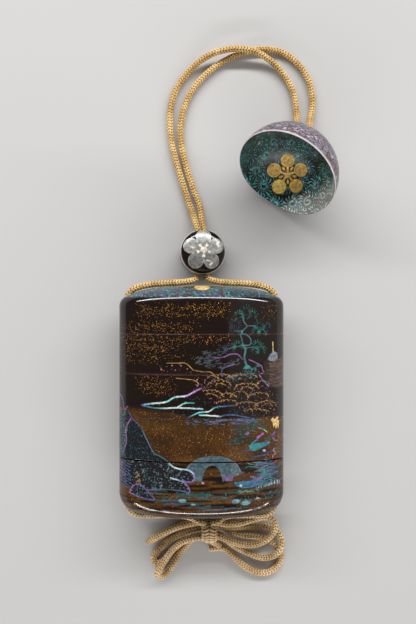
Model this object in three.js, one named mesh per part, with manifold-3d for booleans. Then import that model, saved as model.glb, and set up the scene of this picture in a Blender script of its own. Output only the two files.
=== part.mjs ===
// A Japanese inro lying on its back: a lid and four cases stacked along +Y, threaded on one silk cord
// with a bead and a bowl-shaped toggle beyond the lid, and tied in a bow below the lowest case.
// Millimetres, +Z up. The board is z = 0, and the origin is on the flat of the back, midway between the
// two shoulders. +X is to the right, and +Y runs from the bow to the toggle.
import * as THREE from "three";
import { mergeVertices } from "three/addons/utils/BufferGeometryUtils.js";
import Module from "manifold-3d";

const wasm = await Module();
wasm.setup();

// ---- driving dimensions ----
const WIDTH = 60;
const THICKNESS = 26;
const BACK_FLAT_DEPTH = 0.2; // how much of the round back is taken off to make the flat it rests on
const SHOULDER_Y = 38.05; // the lid's shoulder is at +this, the lowest case's at -this
const SEAMS_Y = [25.25, 11.05, -4.45, -19.55]; // from the lid's edge down
const SEAM_GAP = 0.3;
const SECTION_POWER = 2.1; // 2 is an ellipse; a little more is fuller
const SECTION_SIDES = 44;

const WALL = 1.8; // outer wall beside a riser
const FIT_GAP = 0.35; // between a riser and the skirt that slides over it
const RISER_WALL = 1.5;
const RISER_HEIGHT = 4.8;
const RISER_HALF_WIDTH = 23.2;
const FLOOR = 1.6;
const CHANNEL_X = 26.5; // the two cord channels through the thick ends
const CHANNEL_RADIUS = 1.65;
const CHANNEL_MOUTH_RADIUS = 3;

// Each dome ring: the share of the section it keeps, and its height past the shoulder.
const LID_DOME = [[1, -2.8], [0.99, -1.4], [0.96, -0.1], [0.92, 0.75], [0.8, 2.2], [0.6, 3.55], [0.33, 4.4]];
const LID_DOME_RISE = 4.6;
const BASE_DOME = [[1, -5], [0.985, -3.2], [0.955, -1.4], [0.91, 0], [0.85, 1], [0.72, 2], [0.5, 2.75], [0.25, 3.1]];
const BASE_DOME_RISE = 3.2;

const BEAD_CENTRE = [0.3, 55.3];
const BEAD_RADIUS = 8.6;
const BEAD_HALF_THICKNESS = 5.2;
const BEAD_HOLE_RADIUS = 3.2;
const BEAD_TILT_X = -0.05;
const BEAD_TILT_Y = 0.08;
const FLAT_SPOT_DEPTH = 0.15;

const BOWL_RADIUS = 18.7;
const BOWL_WALL = 1.8; // at the rim
const BOWL_FOOT = 1.6; // how much thicker the bowl is opposite its mouth
const BOWL_CENTRE = [30.4, 82.1, BOWL_RADIUS - FLAT_SPOT_DEPTH];
const BOWL_OPENING = [-0.462, -0.711, 0.53]; // the way the bowl's mouth faces
const BOWL_RIM_DIP = 0.085; // radians: the mouth's lower edge is worn straight
const BOWL_RIM_DIP_WIDTH = 0.55;
const BOWL_HOLE_RADIUS = 1.65;
const BOWL_HOLE_REACH = 0.45; // how far each hole goes past the end of its strand

const CORD_DIAMETER = 2.5;
const CORD_SIDES = 8;

const SECTION_CENTRE_Z = THICKNESS / 2 - BACK_FLAT_DEPTH;

// ---- cord routes, in millimetres, chosen by hand ----
// From the left channel's mouth over the lid, through the bead, round the loop and into the toggle.
const LEFT_LID = [[-26.5, 34, 12.8], [-26.6, 36.8, 12.8], [-26.8, 39, 12.7], [-25.2, 41.15, 12.5],
  [-21.9, 42.45, 11.9], [-17, 43.3, 11], [-11, 43.75, 9.6], [-5.8, 44.2, 8], [-2.9, 45, 6.7],
  [-1.5, 46.2, 5.8], [-1.2, 48, 5.3], [-1.2, 50.5, 5.2]];
const LEFT_ARC = [[-1.2, 50.85, 5.2], [-1.2, 58, 5.3], [-1.3, 61.6, 5.5], [-1.4, 64, 5.2],
  [-2.5, 67.4, 3.9], [-3.9, 71.5, 2.2], [-6.2, 78.5, 1.3], [-9.2, 88.6, 1.3], [-11.3, 96.7, 1.3],
  [-12.1, 104.7, 1.3], [-11.8, 111.1, 1.3], [-10.2, 117, 1.3], [-6, 123.4, 1.5], [-0.6, 128.3, 2.8],
  [5.8, 131.2, 4.1], [12.6, 132.3, 4.5], [19.4, 131.6, 4.2], [26, 128.5, 2.6], [31, 123.7, 1.5],
  [34.4, 118, 1.3], [35.8, 111.6, 1.3], [36.1, 107.7, 1.8], [36.2, 104.7, 3.7], [36.1, 102.1, 6.2],
  [35.9, 99.6, 8.7], [35.6, 96.7, 11.9]];
const RIGHT_ARC = [[1.8, 50.85, 5.2], [1.7, 58, 5], [1.1, 61.4, 4.2], [0.6, 64, 3.4], [0.1, 67.4, 2.5],
  [-0.6, 72.5, 1.4], [-3.2, 80, 1.3], [-5.6, 87.5, 1.3], [-7.4, 95, 1.3], [-8.1, 102, 1.3],
  [-6.9, 110, 1.3], [-3.9, 117, 1.3], [0.5, 122.5, 1.3], [5.8, 127, 1.3], [12.2, 130.6, 1.3],
  [18.7, 132.7, 1.3], [25.1, 133.2, 1.3], [31.5, 131.6, 1.3], [36.9, 127.3, 1.3], [40.6, 121.8, 1.3],
  [42.1, 116, 1.3], [42.2, 111.6, 1.3], [41.6, 107.9, 1.8], [40.9, 104.8, 3.6], [40.4, 102.2, 6.1],
  [40, 99.4, 8.7], [39.4, 94.9, 11.9]];
const LEFT_LEAD = [[-26.5, -32, 12.8], [-26.6, -36, 12.8], [-26.6, -38.4, 12.5], [-24.8, -40.7, 11.8],
  [-20.8, -41.85, 10.6], [-15, -42.15, 9.3], [-10, -42.4, 8.9], [-6, -42.7, 9], [-3, -43.4, 9.8],
  [-0.6, -44.3, 10.9]];
const RIGHT_LEAD = [[26.5, -32, 12.8], [26.6, -36, 12.8], [26.6, -38.4, 12.5], [24.8, -40.7, 11.8],
  [20.8, -41.85, 10.6], [15, -42.15, 9.3], [11, -42.4, 9], [8, -43.1, 9.6], [5.8, -44.3, 10.9]];

// The knot ties round the legs of six flat loops, three to each side.
const KNOT_CENTRE = [2.6, -48.3, 6.6];
const KNOT_HALF_WIDTH = 2.5;
const KNOT_RADIUS = 4.9;
const KNOT_HEIGHT_SCALE = 1.32;
const KNOT_TAIL = [[2.9, -52.2, 5.6], [7, -55.6, 2.5]]; // the last turn of the knot, tucked under
const KNOT_TAIL_RADIUS = 1.5;
const BOW_LOOPS = {
  cord_bow_left_upper: [[-0.6, -45.3, 8.2], [-4.5, -45.8, 8.3], [-9, -47.1, 8.2], [-13.6, -49.2, 7.6],
    [-17.6, -51.6, 6.2], [-20, -53.6, 4], [-18.8, -54, 1.9], [-15.8, -52.5, 1.3], [-12, -50.4, 1.3],
    [-8, -48.2, 1.3], [-4, -46.4, 1.4], [-2, -45.6, 1.6], [-0.6, -45.4, 1.8]],
  cord_bow_left_middle: [[-0.6, -48.3, 5], [-2.2, -48.6, 4.9], [-4.6, -49.6, 4.3], [-8.4, -51.4, 3], [-12.6, -54.3, 1.6],
    [-16.2, -57.6, 1.3], [-18.3, -60.6, 1.3], [-17.6, -62.5, 1.3], [-15.1, -62.2, 1.3], [-13, -59.8, 1.3],
    [-10.6, -57, 1.3], [-7.6, -54.2, 1.3], [-4.6, -51.2, 1.3], [-2.3, -49.2, 1.5], [-0.6, -48.7, 1.7]],
  cord_bow_left_lower: [[-0.6, -51, 7.6], [-4.2, -51.8, 7.1], [-8, -53.8, 5.6], [-11.2, -57, 4.4],
    [-13.6, -60.2, 4.6], [-15.5, -63.4, 4.8], [-16.7, -66.2, 4], [-14.9, -67.6, 1.9], [-12.3, -65.3, 1.3],
    [-10.2, -61.8, 1.3], [-7.6, -58, 1.3], [-4.6, -54.3, 2.3], [-2.3, -52, 3.6], [-0.6, -51.4, 3.9]],
  cord_bow_right_upper: [[5.8, -45.4, 8.2], [9.5, -46.1, 7.7], [14, -46, 7], [19, -44.8, 6.4],
    [23.5, -44, 5.9], [26.9, -45.4, 5.6], [27.6, -48.4, 5.4], [25.6, -51.8, 4.9], [21.8, -54.3, 4.4],
    [17.4, -54.9, 4.5], [12.6, -53.7, 5.6], [8.8, -51.9, 7], [7, -50.9, 7.6], [5.8, -50.6, 7.8]],
  cord_bow_right_middle: [[5.8, -47.6, 5.2], [9.6, -48.2, 4], [14, -48.8, 2.4], [19, -48.9, 1.4],
    [24, -48.8, 1.3], [28, -50.2, 1.5], [30.1, -53.2, 3], [29.6, -56.6, 4.3], [27.2, -59.2, 3.6],
    [22.8, -60.4, 2], [17.6, -58.8, 1.3], [13, -56.2, 2.4], [9.4, -53, 4.1], [7.2, -51.1, 4.6], [5.8, -50.6, 4.7]],
  cord_bow_right_lower: [[5.9, -47.8, 2], [7.6, -48.4, 1.7], [9.8, -50.2, 1.3], [14, -51.8, 1.3], [19.5, -52.3, 1.3],
    [24.5, -53.4, 1.3], [28.3, -56.4, 1.3], [30.2, -60.2, 1.3], [28.8, -63.8, 1.3], [24.8, -66.3, 1.3],
    [20, -66, 1.3], [15.6, -63.4, 1.3], [12, -60.2, 1.3], [8.6, -57.1, 1.5]],
};

// ---- materials ----
const lacquer = new THREE.MeshStandardMaterial({ color: 0x1c1512, roughness: 0.22, metalness: 0.1 });
const mosaic = new THREE.MeshStandardMaterial({ color: 0x8f8593, roughness: 0.3, metalness: 0.2 });
const silk = new THREE.MeshStandardMaterial({ color: 0xb08b4a, roughness: 0.75, metalness: 0 });

// ---- closed solids: joining, cutting and lofting ----
function solidFrom(geometry) {
  const bare = geometry.clone();
  bare.deleteAttribute("normal");
  bare.deleteAttribute("uv");
  const merged = mergeVertices(bare, 1e-4);
  const triVerts = new Uint32Array(merged.index.array);
  const vertProperties = merged.attributes.position.array;
  const solid = new wasm.Manifold(new wasm.Mesh({ numProp: 3, vertProperties, triVerts }));
  if (solid.volume() > 0) return solid;
  for (let i = 0; i < triVerts.length; i += 3) {
    [triVerts[i + 1], triVerts[i + 2]] = [triVerts[i + 2], triVerts[i + 1]];
  }
  return new wasm.Manifold(new wasm.Mesh({ numProp: 3, vertProperties, triVerts }));
}

function geometryFrom(solid) {
  const mesh = solid.getMesh();
  const positions = new Float32Array(mesh.numVert * 3);
  for (let i = 0; i < mesh.numVert; i++) {
    positions.set(mesh.vertProperties.subarray(i * mesh.numProp, i * mesh.numProp + 3), i * 3);
  }
  const geometry = new THREE.BufferGeometry();
  geometry.setAttribute("position", new THREE.BufferAttribute(positions, 3));
  geometry.setIndex(new THREE.BufferAttribute(mesh.triVerts, 1));
  geometry.computeVertexNormals();
  return geometry;
}

function named(name, geometry, material) {
  const mesh = new THREE.Mesh(geometry, material);
  mesh.name = name;
  return mesh;
}

function middleOf(ring) {
  const sum = ring.reduce((total, point) => total.add(point), new THREE.Vector3());
  return sum.divideScalar(ring.length);
}

// A closed skin over rings of equally many points, with a fan at each end.
function loft(rings, firstTip = middleOf(rings[0]), lastTip = middleOf(rings.at(-1))) {
  const count = rings[0].length;
  const points = [firstTip, ...rings.flat(), lastTip];
  const at = (ring, i) => 1 + ring * count + (i % count);
  const faces = [];
  for (let i = 0; i < count; i++) {
    faces.push(0, at(0, i + 1), at(0, i));
    for (let r = 0; r < rings.length - 1; r++) {
      faces.push(at(r, i), at(r, i + 1), at(r + 1, i));
      faces.push(at(r, i + 1), at(r + 1, i + 1), at(r + 1, i));
    }
    faces.push(at(rings.length - 1, i), at(rings.length - 1, i + 1), points.length - 1);
  }
  const geometry = new THREE.BufferGeometry();
  geometry.setAttribute("position", new THREE.Float32BufferAttribute(points.flatMap((p) => p.toArray()), 3));
  geometry.setIndex(faces);
  return solidFrom(geometry);
}

function cylinderBetween(radius, from, to, sides = 16) {
  const start = new THREE.Vector3(...from);
  const end = new THREE.Vector3(...to);
  const geometry = new THREE.CylinderGeometry(radius, radius, start.distanceTo(end), sides);
  const turn = new THREE.Quaternion().setFromUnitVectors(
    new THREE.Vector3(0, 1, 0), end.clone().sub(start).normalize());
  geometry.applyQuaternion(turn);
  geometry.translate(...start.add(end).multiplyScalar(0.5).toArray());
  return solidFrom(geometry);
}

// Everything under the board's plane, for the flat spots that round pieces rest on.
function belowBoard() {
  const depth = 50;
  return solidFrom(new THREE.BoxGeometry(400, 400, depth).translate(0, 0, -depth / 2));
}

// ---- the inro's section ----
function ovalPoint(angle, halfWidth, halfDepth) {
  const power = 2 / SECTION_POWER;
  const x = Math.sign(Math.cos(angle)) * Math.abs(Math.cos(angle)) ** power;
  const z = Math.sign(Math.sin(angle)) * Math.abs(Math.sin(angle)) ** power;
  return [x * halfWidth, z * halfDepth];
}

// The outer section at height y, keeping a share of its size, with the flat on its back.
function outerRing(y, share = 1) {
  const ring = [];
  for (let i = 0; i < SECTION_SIDES; i++) {
    const angle = (2 * Math.PI * i) / SECTION_SIDES;
    const [x, z] = ovalPoint(angle, (WIDTH / 2) * share, (THICKNESS / 2) * share);
    ring.push(new THREE.Vector3(x, y, Math.max(0, z + SECTION_CENTRE_Z)));
  }
  return ring;
}

// An oval cut off straight at its two ends, the form of risers, skirts and compartments.
function innerRing(y, inset, halfWidth, share = 1) {
  const steps = 16;
  const half = (WIDTH / 2 - inset) * share;
  const depth = (THICKNESS / 2 - inset) * share;
  const reach = Math.acos((halfWidth / (WIDTH / 2 - inset)) ** (SECTION_POWER / 2));
  const ring = [];
  for (const side of [1, -1]) {
    for (let i = 0; i <= steps; i++) {
      const angle = reach + ((Math.PI - 2 * reach) * i) / steps;
      const [x, z] = ovalPoint(angle, half, depth);
      ring.push(new THREE.Vector3(x * side, y, z * side + SECTION_CENTRE_Z));
    }
  }
  return ring;
}

function innerBlock(fromY, toY, inset, halfWidth) {
  return loft([innerRing(fromY, inset, halfWidth), innerRing(toY, inset, halfWidth)]);
}

const SKIRT_INSET = WALL;
const RISER_INSET = WALL + FIT_GAP;
const COMPARTMENT_INSET = RISER_INSET + RISER_WALL;
const COMPARTMENT_HALF_WIDTH = RISER_HALF_WIDTH - RISER_WALL;

function skirtRecess(edgeY) {
  return innerBlock(edgeY - 1, edgeY + RISER_HEIGHT + SEAM_GAP + FIT_GAP, SKIRT_INSET, RISER_HALF_WIDTH + FIT_GAP);
}

function compartment(floorY, topY) {
  return innerBlock(floorY, topY, COMPARTMENT_INSET, COMPARTMENT_HALF_WIDTH);
}

function channels() {
  const reach = SHOULDER_Y + 20;
  return [-1, 1].map((side) => cylinderBetween(CHANNEL_RADIUS,
    [side * CHANNEL_X, -reach, SECTION_CENTRE_Z], [side * CHANNEL_X, reach, SECTION_CENTRE_Z]));
}

// The channels open wider at both domes, where the cord bends over the edge.
function channelMouths(shoulderY) {
  const lean = 0.6;
  return [-1, 1].map((side) => {
    const ball = new THREE.SphereGeometry(CHANNEL_MOUTH_RADIUS, 12, 8);
    ball.translate(side * (CHANNEL_X - lean), shoulderY + Math.sign(shoulderY) * 1.9, SECTION_CENTRE_Z);
    return solidFrom(ball);
  });
}

function cutAll(solid, cutters) {
  return cutters.reduce((left, cutter) => left.subtract(cutter), solid);
}

// ---- the lid and the four cases ----
function lid() {
  const edgeY = SEAMS_Y[0] + SEAM_GAP / 2;
  const rings = [outerRing(edgeY), ...LID_DOME.map(([share, rise]) => outerRing(SHOULDER_Y + rise, share))];
  const apex = new THREE.Vector3(0, SHOULDER_Y + LID_DOME_RISE, SECTION_CENTRE_Z);
  const ceiling = loft([
    innerRing(edgeY, COMPARTMENT_INSET, COMPARTMENT_HALF_WIDTH),
    innerRing(SHOULDER_Y + 0.6, COMPARTMENT_INSET, COMPARTMENT_HALF_WIDTH),
    innerRing(SHOULDER_Y + 2.2, COMPARTMENT_INSET, COMPARTMENT_HALF_WIDTH, 0.6),
  ]);
  const cutters = [skirtRecess(edgeY), ceiling, ...channels(), ...channelMouths(SHOULDER_Y)];
  return named("inro_lid", geometryFrom(cutAll(loft(rings, undefined, apex), cutters)), lacquer);
}

function middleCase(number) {
  const topY = SEAMS_Y[number - 1] - SEAM_GAP / 2;
  const edgeY = SEAMS_Y[number] + SEAM_GAP / 2;
  const riserTop = topY + RISER_HEIGHT;
  const floorY = edgeY + RISER_HEIGHT + SEAM_GAP + FIT_GAP + FLOOR;
  const body = loft([outerRing(edgeY), outerRing(topY)]);
  const riser = innerBlock(topY - 1, riserTop, RISER_INSET, RISER_HALF_WIDTH);
  const cutters = [skirtRecess(edgeY), compartment(floorY, riserTop + 1), ...channels()];
  return named(`inro_case_${number}`, geometryFrom(cutAll(body.add(riser), cutters)), lacquer);
}

function lowestCase() {
  const topY = SEAMS_Y[3] - SEAM_GAP / 2;
  const riserTop = topY + RISER_HEIGHT;
  const domed = BASE_DOME.map(([share, rise]) => outerRing(-SHOULDER_Y - rise, share));
  const apex = new THREE.Vector3(0, -SHOULDER_Y - BASE_DOME_RISE, SECTION_CENTRE_Z);
  const body = loft([outerRing(topY), ...domed], undefined, apex);
  const riser = innerBlock(topY - 1, riserTop, RISER_INSET, RISER_HALF_WIDTH);
  const cutters = [compartment(-SHOULDER_Y - 0.3, riserTop + 1), ...channels(), ...channelMouths(-SHOULDER_Y)];
  return named("inro_case_4", geometryFrom(cutAll(body.add(riser), cutters)), lacquer);
}

// ---- the bead and the toggle ----
function bead() {
  const half = BEAD_HALF_THICKNESS;
  const quarter = [[0, half], [4.35, half - 0.35], [6.85, half - 1.05], [8, half - 1.9], [8.5, half - 3.2]];
  const profile = [
    ...quarter.map(([radius, height]) => new THREE.Vector2(radius, -height)),
    new THREE.Vector2(BEAD_RADIUS, 0),
    ...quarter.toReversed().map(([radius, height]) => new THREE.Vector2(radius, height)),
  ];
  const turned = new THREE.LatheGeometry(profile, 28);
  turned.rotateX(Math.PI / 2 + BEAD_TILT_X);
  turned.rotateY(BEAD_TILT_Y);
  turned.computeBoundingBox();
  const centreZ = -turned.boundingBox.min.z - FLAT_SPOT_DEPTH;
  turned.translate(...BEAD_CENTRE, centreZ);
  const reach = 2 * BEAD_RADIUS;
  const [x, y] = BEAD_CENTRE;
  const hole = cylinderBetween(BEAD_HOLE_RADIUS, [x, y - reach, centreZ], [x, y + reach, centreZ], 16);
  return named("ojime_bead", geometryFrom(cutAll(solidFrom(turned), [hole, belowBoard()])), lacquer);
}

// The toggle is half a hollow ball, mouth up and to the lower left; its rim dips on the lower side.
function bowl() {
  const sides = 28;
  const opening = new THREE.Vector3(...BOWL_OPENING).normalize();
  const along = new THREE.Vector3().crossVectors(new THREE.Vector3(0, 0, 1), opening).normalize();
  const down = new THREE.Vector3().crossVectors(along, opening).normalize();
  if (down.z > 0) down.negate();
  const centre = new THREE.Vector3(...BOWL_CENTRE);
  const ringAt = (share, radius, raised = 0) => {
    const ring = [];
    for (let i = 0; i < sides; i++) {
      const around = (2 * Math.PI * i) / sides;
      const fromLow = Math.min(around, 2 * Math.PI - around);
      const dip = BOWL_RIM_DIP * Math.exp(-((fromLow / BOWL_RIM_DIP_WIDTH) ** 2));
      const polar = share * (Math.PI / 2 - dip);
      const point = centre.clone();
      point.addScaledVector(down, radius * Math.sin(polar) * Math.cos(around));
      point.addScaledVector(along, radius * Math.sin(polar) * Math.sin(around));
      point.addScaledVector(opening, (raised - radius) * Math.cos(polar));
      ring.push(point);
    }
    return ring;
  };
  const shares = [0.16, 0.33, 0.5, 0.67, 0.84, 1];
  const inner = BOWL_RADIUS - BOWL_WALL;
  const outerRings = shares.map((share) => ringAt(share, BOWL_RADIUS));
  const innerRings = shares.toReversed().map((share) => ringAt(share, inner, BOWL_FOOT));
  const pole = centre.clone().addScaledVector(opening, -BOWL_RADIUS);
  const innerPole = centre.clone().addScaledVector(opening, BOWL_FOOT - inner);
  const shell = loft([...outerRings, ...innerRings], pole, innerPole);
  const holes = [LEFT_ARC, RIGHT_ARC].map((route) =>
    cylinderBetween(BOWL_HOLE_RADIUS, holeStart(route), holeEnd(route), 16));
  return named("netsuke_bowl", geometryFrom(cutAll(shell, [...holes, belowBoard()])), mosaic);
}

// Each strand ends in a blind hole in the bowl's thick foot, in line with the last step of its route.
function holeStart(route) {
  return route.at(-2);
}

function holeEnd(route) {
  const [last, before] = [new THREE.Vector3(...route.at(-1)), new THREE.Vector3(...route.at(-2))];
  return last.addScaledVector(last.clone().sub(before).normalize(), BOWL_HOLE_REACH).toArray();
}

// ---- the cord ----
function tube(name, route, stepLength) {
  const curve = new THREE.CatmullRomCurve3(route.map((point) => new THREE.Vector3(...point)), false, "centripetal");
  const section = new THREE.Shape();
  section.absarc(0, 0, CORD_DIAMETER / 2, 0, 2 * Math.PI);
  const steps = Math.ceil(curve.getLength() / stepLength);
  const geometry = new THREE.ExtrudeGeometry(section, {
    steps, extrudePath: curve, curveSegments: CORD_SIDES / 2, bevelEnabled: false });
  return named(name, geometryFrom(solidFrom(geometry)), silk);
}

function knot() {
  const band = new THREE.LatheGeometry([
    new THREE.Vector2(0, -KNOT_HALF_WIDTH),
    new THREE.Vector2(KNOT_RADIUS - 0.4, -KNOT_HALF_WIDTH),
    new THREE.Vector2(KNOT_RADIUS, -KNOT_HALF_WIDTH / 2),
    new THREE.Vector2(KNOT_RADIUS, KNOT_HALF_WIDTH / 2),
    new THREE.Vector2(KNOT_RADIUS - 0.4, KNOT_HALF_WIDTH),
    new THREE.Vector2(0, KNOT_HALF_WIDTH),
  ], 24);
  band.rotateZ(Math.PI / 2);
  band.scale(1, 1, KNOT_HEIGHT_SCALE);
  band.translate(...KNOT_CENTRE);
  const [from, to] = KNOT_TAIL;
  const end = new THREE.SphereGeometry(KNOT_TAIL_RADIUS, 10, 6).translate(...to);
  const tail = cylinderBetween(KNOT_TAIL_RADIUS, from, to, 10).add(solidFrom(end));
  return named("cord_knot", geometryFrom(solidFrom(band).add(tail)), silk);
}

// ---- assembly ----
const group = new THREE.Group();
group.add(lid(), middleCase(1), middleCase(2), middleCase(3), lowestCase(), bead(), bowl());
const rightLid = LEFT_LID.map(([x, y, z]) => [0.5 - x, y, z]);
rightLid.splice(0, 4, [26.5, 34, 12.8], [26.6, 36.8, 12.8], [26.8, 39, 12.7], [25.2, 41.15, 12.5]);
group.add(tube("cord_left_lid", LEFT_LID, 3.6), tube("cord_right_lid", rightLid, 3.6));
group.add(tube("cord_left_arc", LEFT_ARC, 6), tube("cord_right_arc", RIGHT_ARC, 6));
group.add(tube("cord_left_lead", LEFT_LEAD, 4), tube("cord_right_lead", RIGHT_LEAD, 4));
group.add(knot());
for (const [name, route] of Object.entries(BOW_LOOPS)) group.add(tube(name, route, 5));

export default group;
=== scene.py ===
# An inro of four cases and a lid, lying on its back on a board, with its bead, its bowl-shaped toggle
# and the braided silk cord that threads them and is tied in a bow. All places are in metres, in the
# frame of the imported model; small sizes are written in millimetres and multiplied by MM.
import math

import bmesh
import bpy
import numpy as np
from mathutils import Matrix, Vector


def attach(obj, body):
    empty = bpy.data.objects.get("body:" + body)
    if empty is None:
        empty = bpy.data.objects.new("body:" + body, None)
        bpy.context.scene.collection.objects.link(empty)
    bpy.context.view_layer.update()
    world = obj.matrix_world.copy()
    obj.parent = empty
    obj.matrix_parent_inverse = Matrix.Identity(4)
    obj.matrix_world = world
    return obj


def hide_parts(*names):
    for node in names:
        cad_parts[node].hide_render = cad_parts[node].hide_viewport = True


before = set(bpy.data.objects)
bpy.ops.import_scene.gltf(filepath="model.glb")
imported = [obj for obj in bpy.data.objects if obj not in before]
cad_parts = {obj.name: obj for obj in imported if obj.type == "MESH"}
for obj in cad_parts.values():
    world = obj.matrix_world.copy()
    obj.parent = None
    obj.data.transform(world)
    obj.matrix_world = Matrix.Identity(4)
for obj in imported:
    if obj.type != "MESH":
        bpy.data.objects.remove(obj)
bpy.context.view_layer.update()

MM = 0.001
TAU = 2 * math.pi
CREASE_ANGLE = math.radians(40)

# ---- sizes of the inro, in millimetres, and its places from the frame ----
HALF_WIDTH = 30.0
HALF_DEPTH = 13.0
MIDDLE_Z = 12.8
SECTION_POWER = 2.1
SHOULDER_Y = 38.05
SEAMS_Y = (25.25, 11.05, -4.45, -19.55)
SEAM_HALF_GAPS = (0.06, 0.06, 0.05, 0.26)
RISER_HEIGHT = 4.8
CHANNEL_X = 26.5
CHANNEL_RADIUS = 1.65
BEAD_RADIUS = 8.6
BOWL_RADIUS = 18.7
BOWL_WALL = 1.8
BOWL_FOOT = 1.6
BOWL_CENTRE = np.array([30.4, 82.1, 18.55])
BOWL_OPENING = np.array([-0.462, -0.711, 0.53])
CORD_DIAMETER = 2.5

# ---- camera: straight down over the middle of the laid-out object ----
CAMERA_PLACE = (2.4 * MM, 33 * MM, 283 * MM)
CAMERA_LENS = 42.6
SENSOR_WIDTH = 36


def make_camera():
    camera = bpy.data.cameras.new("camera")
    camera.lens = CAMERA_LENS
    camera.sensor_width = SENSOR_WIDTH
    camera.sensor_fit = "AUTO"
    camera.clip_start = 0.01
    seen = bpy.data.objects.new("camera", camera)
    seen.location = CAMERA_PLACE
    bpy.context.collection.objects.link(seen)
    bpy.context.scene.camera = seen


make_camera()

# ---- cord routes, in millimetres: the same points as the model's ----
LEFT_LID = [(-26.5, 34, 12.8), (-26.6, 36.8, 12.8), (-26.8, 39, 12.7), (-25.2, 41.15, 12.5),
            (-21.9, 42.45, 11.9), (-17, 43.3, 11), (-11, 43.75, 9.6), (-5.8, 44.2, 8), (-2.9, 45, 6.7),
            (-1.5, 46.2, 5.8), (-1.2, 48, 5.3), (-1.2, 50.5, 5.2)]
RIGHT_LID = [(-x, y, z) for x, y, z in LEFT_LID[:4]]
RIGHT_LID += [(0.5 - x, y, z) for x, y, z in LEFT_LID[4:]]
LEFT_ARC = [(-1.2, 50.85, 5.2), (-1.2, 58, 5.3), (-1.3, 61.6, 5.5), (-1.4, 64, 5.2), (-2.5, 67.4, 3.9),
            (-3.9, 71.5, 2.2), (-6.2, 78.5, 1.3), (-9.2, 88.6, 1.3), (-11.3, 96.7, 1.3),
            (-12.1, 104.7, 1.3), (-11.8, 111.1, 1.3), (-10.2, 117, 1.3), (-6, 123.4, 1.5),
            (-0.6, 128.3, 2.8), (5.8, 131.2, 4.1), (12.6, 132.3, 4.5), (19.4, 131.6, 4.2),
            (26, 128.5, 2.6), (31, 123.7, 1.5), (34.4, 118, 1.3), (35.8, 111.6, 1.3), (36.1, 107.7, 1.8),
            (36.2, 104.7, 3.7), (36.1, 102.1, 6.2), (35.9, 99.6, 8.7), (35.6, 96.7, 11.9)]
RIGHT_ARC = [(1.8, 50.85, 5.2), (1.7, 58, 5), (1.1, 61.4, 4.2), (0.6, 64, 3.4), (0.1, 67.4, 2.5),
             (-0.6, 72.5, 1.4), (-3.2, 80, 1.3), (-5.6, 87.5, 1.3), (-7.4, 95, 1.3), (-8.1, 102, 1.3),
             (-6.9, 110, 1.3), (-3.9, 117, 1.3), (0.5, 122.5, 1.3), (5.8, 127, 1.3), (12.2, 130.6, 1.3),
             (18.7, 132.7, 1.3), (25.1, 133.2, 1.3), (31.5, 131.6, 1.3), (36.9, 127.3, 1.3),
             (40.6, 121.8, 1.3), (42.1, 116, 1.3), (42.2, 111.6, 1.3), (41.6, 107.9, 1.8),
             (40.9, 104.8, 3.6), (40.4, 102.2, 6.1), (40, 99.4, 8.7), (39.4, 94.9, 11.9)]
LEFT_LEAD = [(-26.5, -32, 12.8), (-26.6, -36, 12.8), (-26.6, -38.4, 12.5), (-24.8, -40.7, 11.8),
             (-20.8, -41.85, 10.6), (-15, -42.15, 9.3), (-10, -42.4, 8.9), (-6, -42.7, 9),
             (-3, -43.4, 9.8), (-0.6, -44.3, 10.9)]
RIGHT_LEAD = [(-x, y, z) for x, y, z in LEFT_LEAD[:6]]
RIGHT_LEAD += [(11, -42.4, 9), (8, -43.1, 9.6), (5.8, -44.3, 10.9)]
KNOT_CENTRE = (2.6, -48.3, 6.6)
KNOT_WRAP_REACH = (4.9, 6.46)
KNOT_WRAP_WIDE = 2.4
KNOT_CORE = (2.2, 3.4, 5.2)
KNOT_TAIL = [(2.4, -50, 8.2), (2.7, -51.9, 6.6), (4.4, -53.9, 4.4), (7, -55.6, 2.5)]
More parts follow.
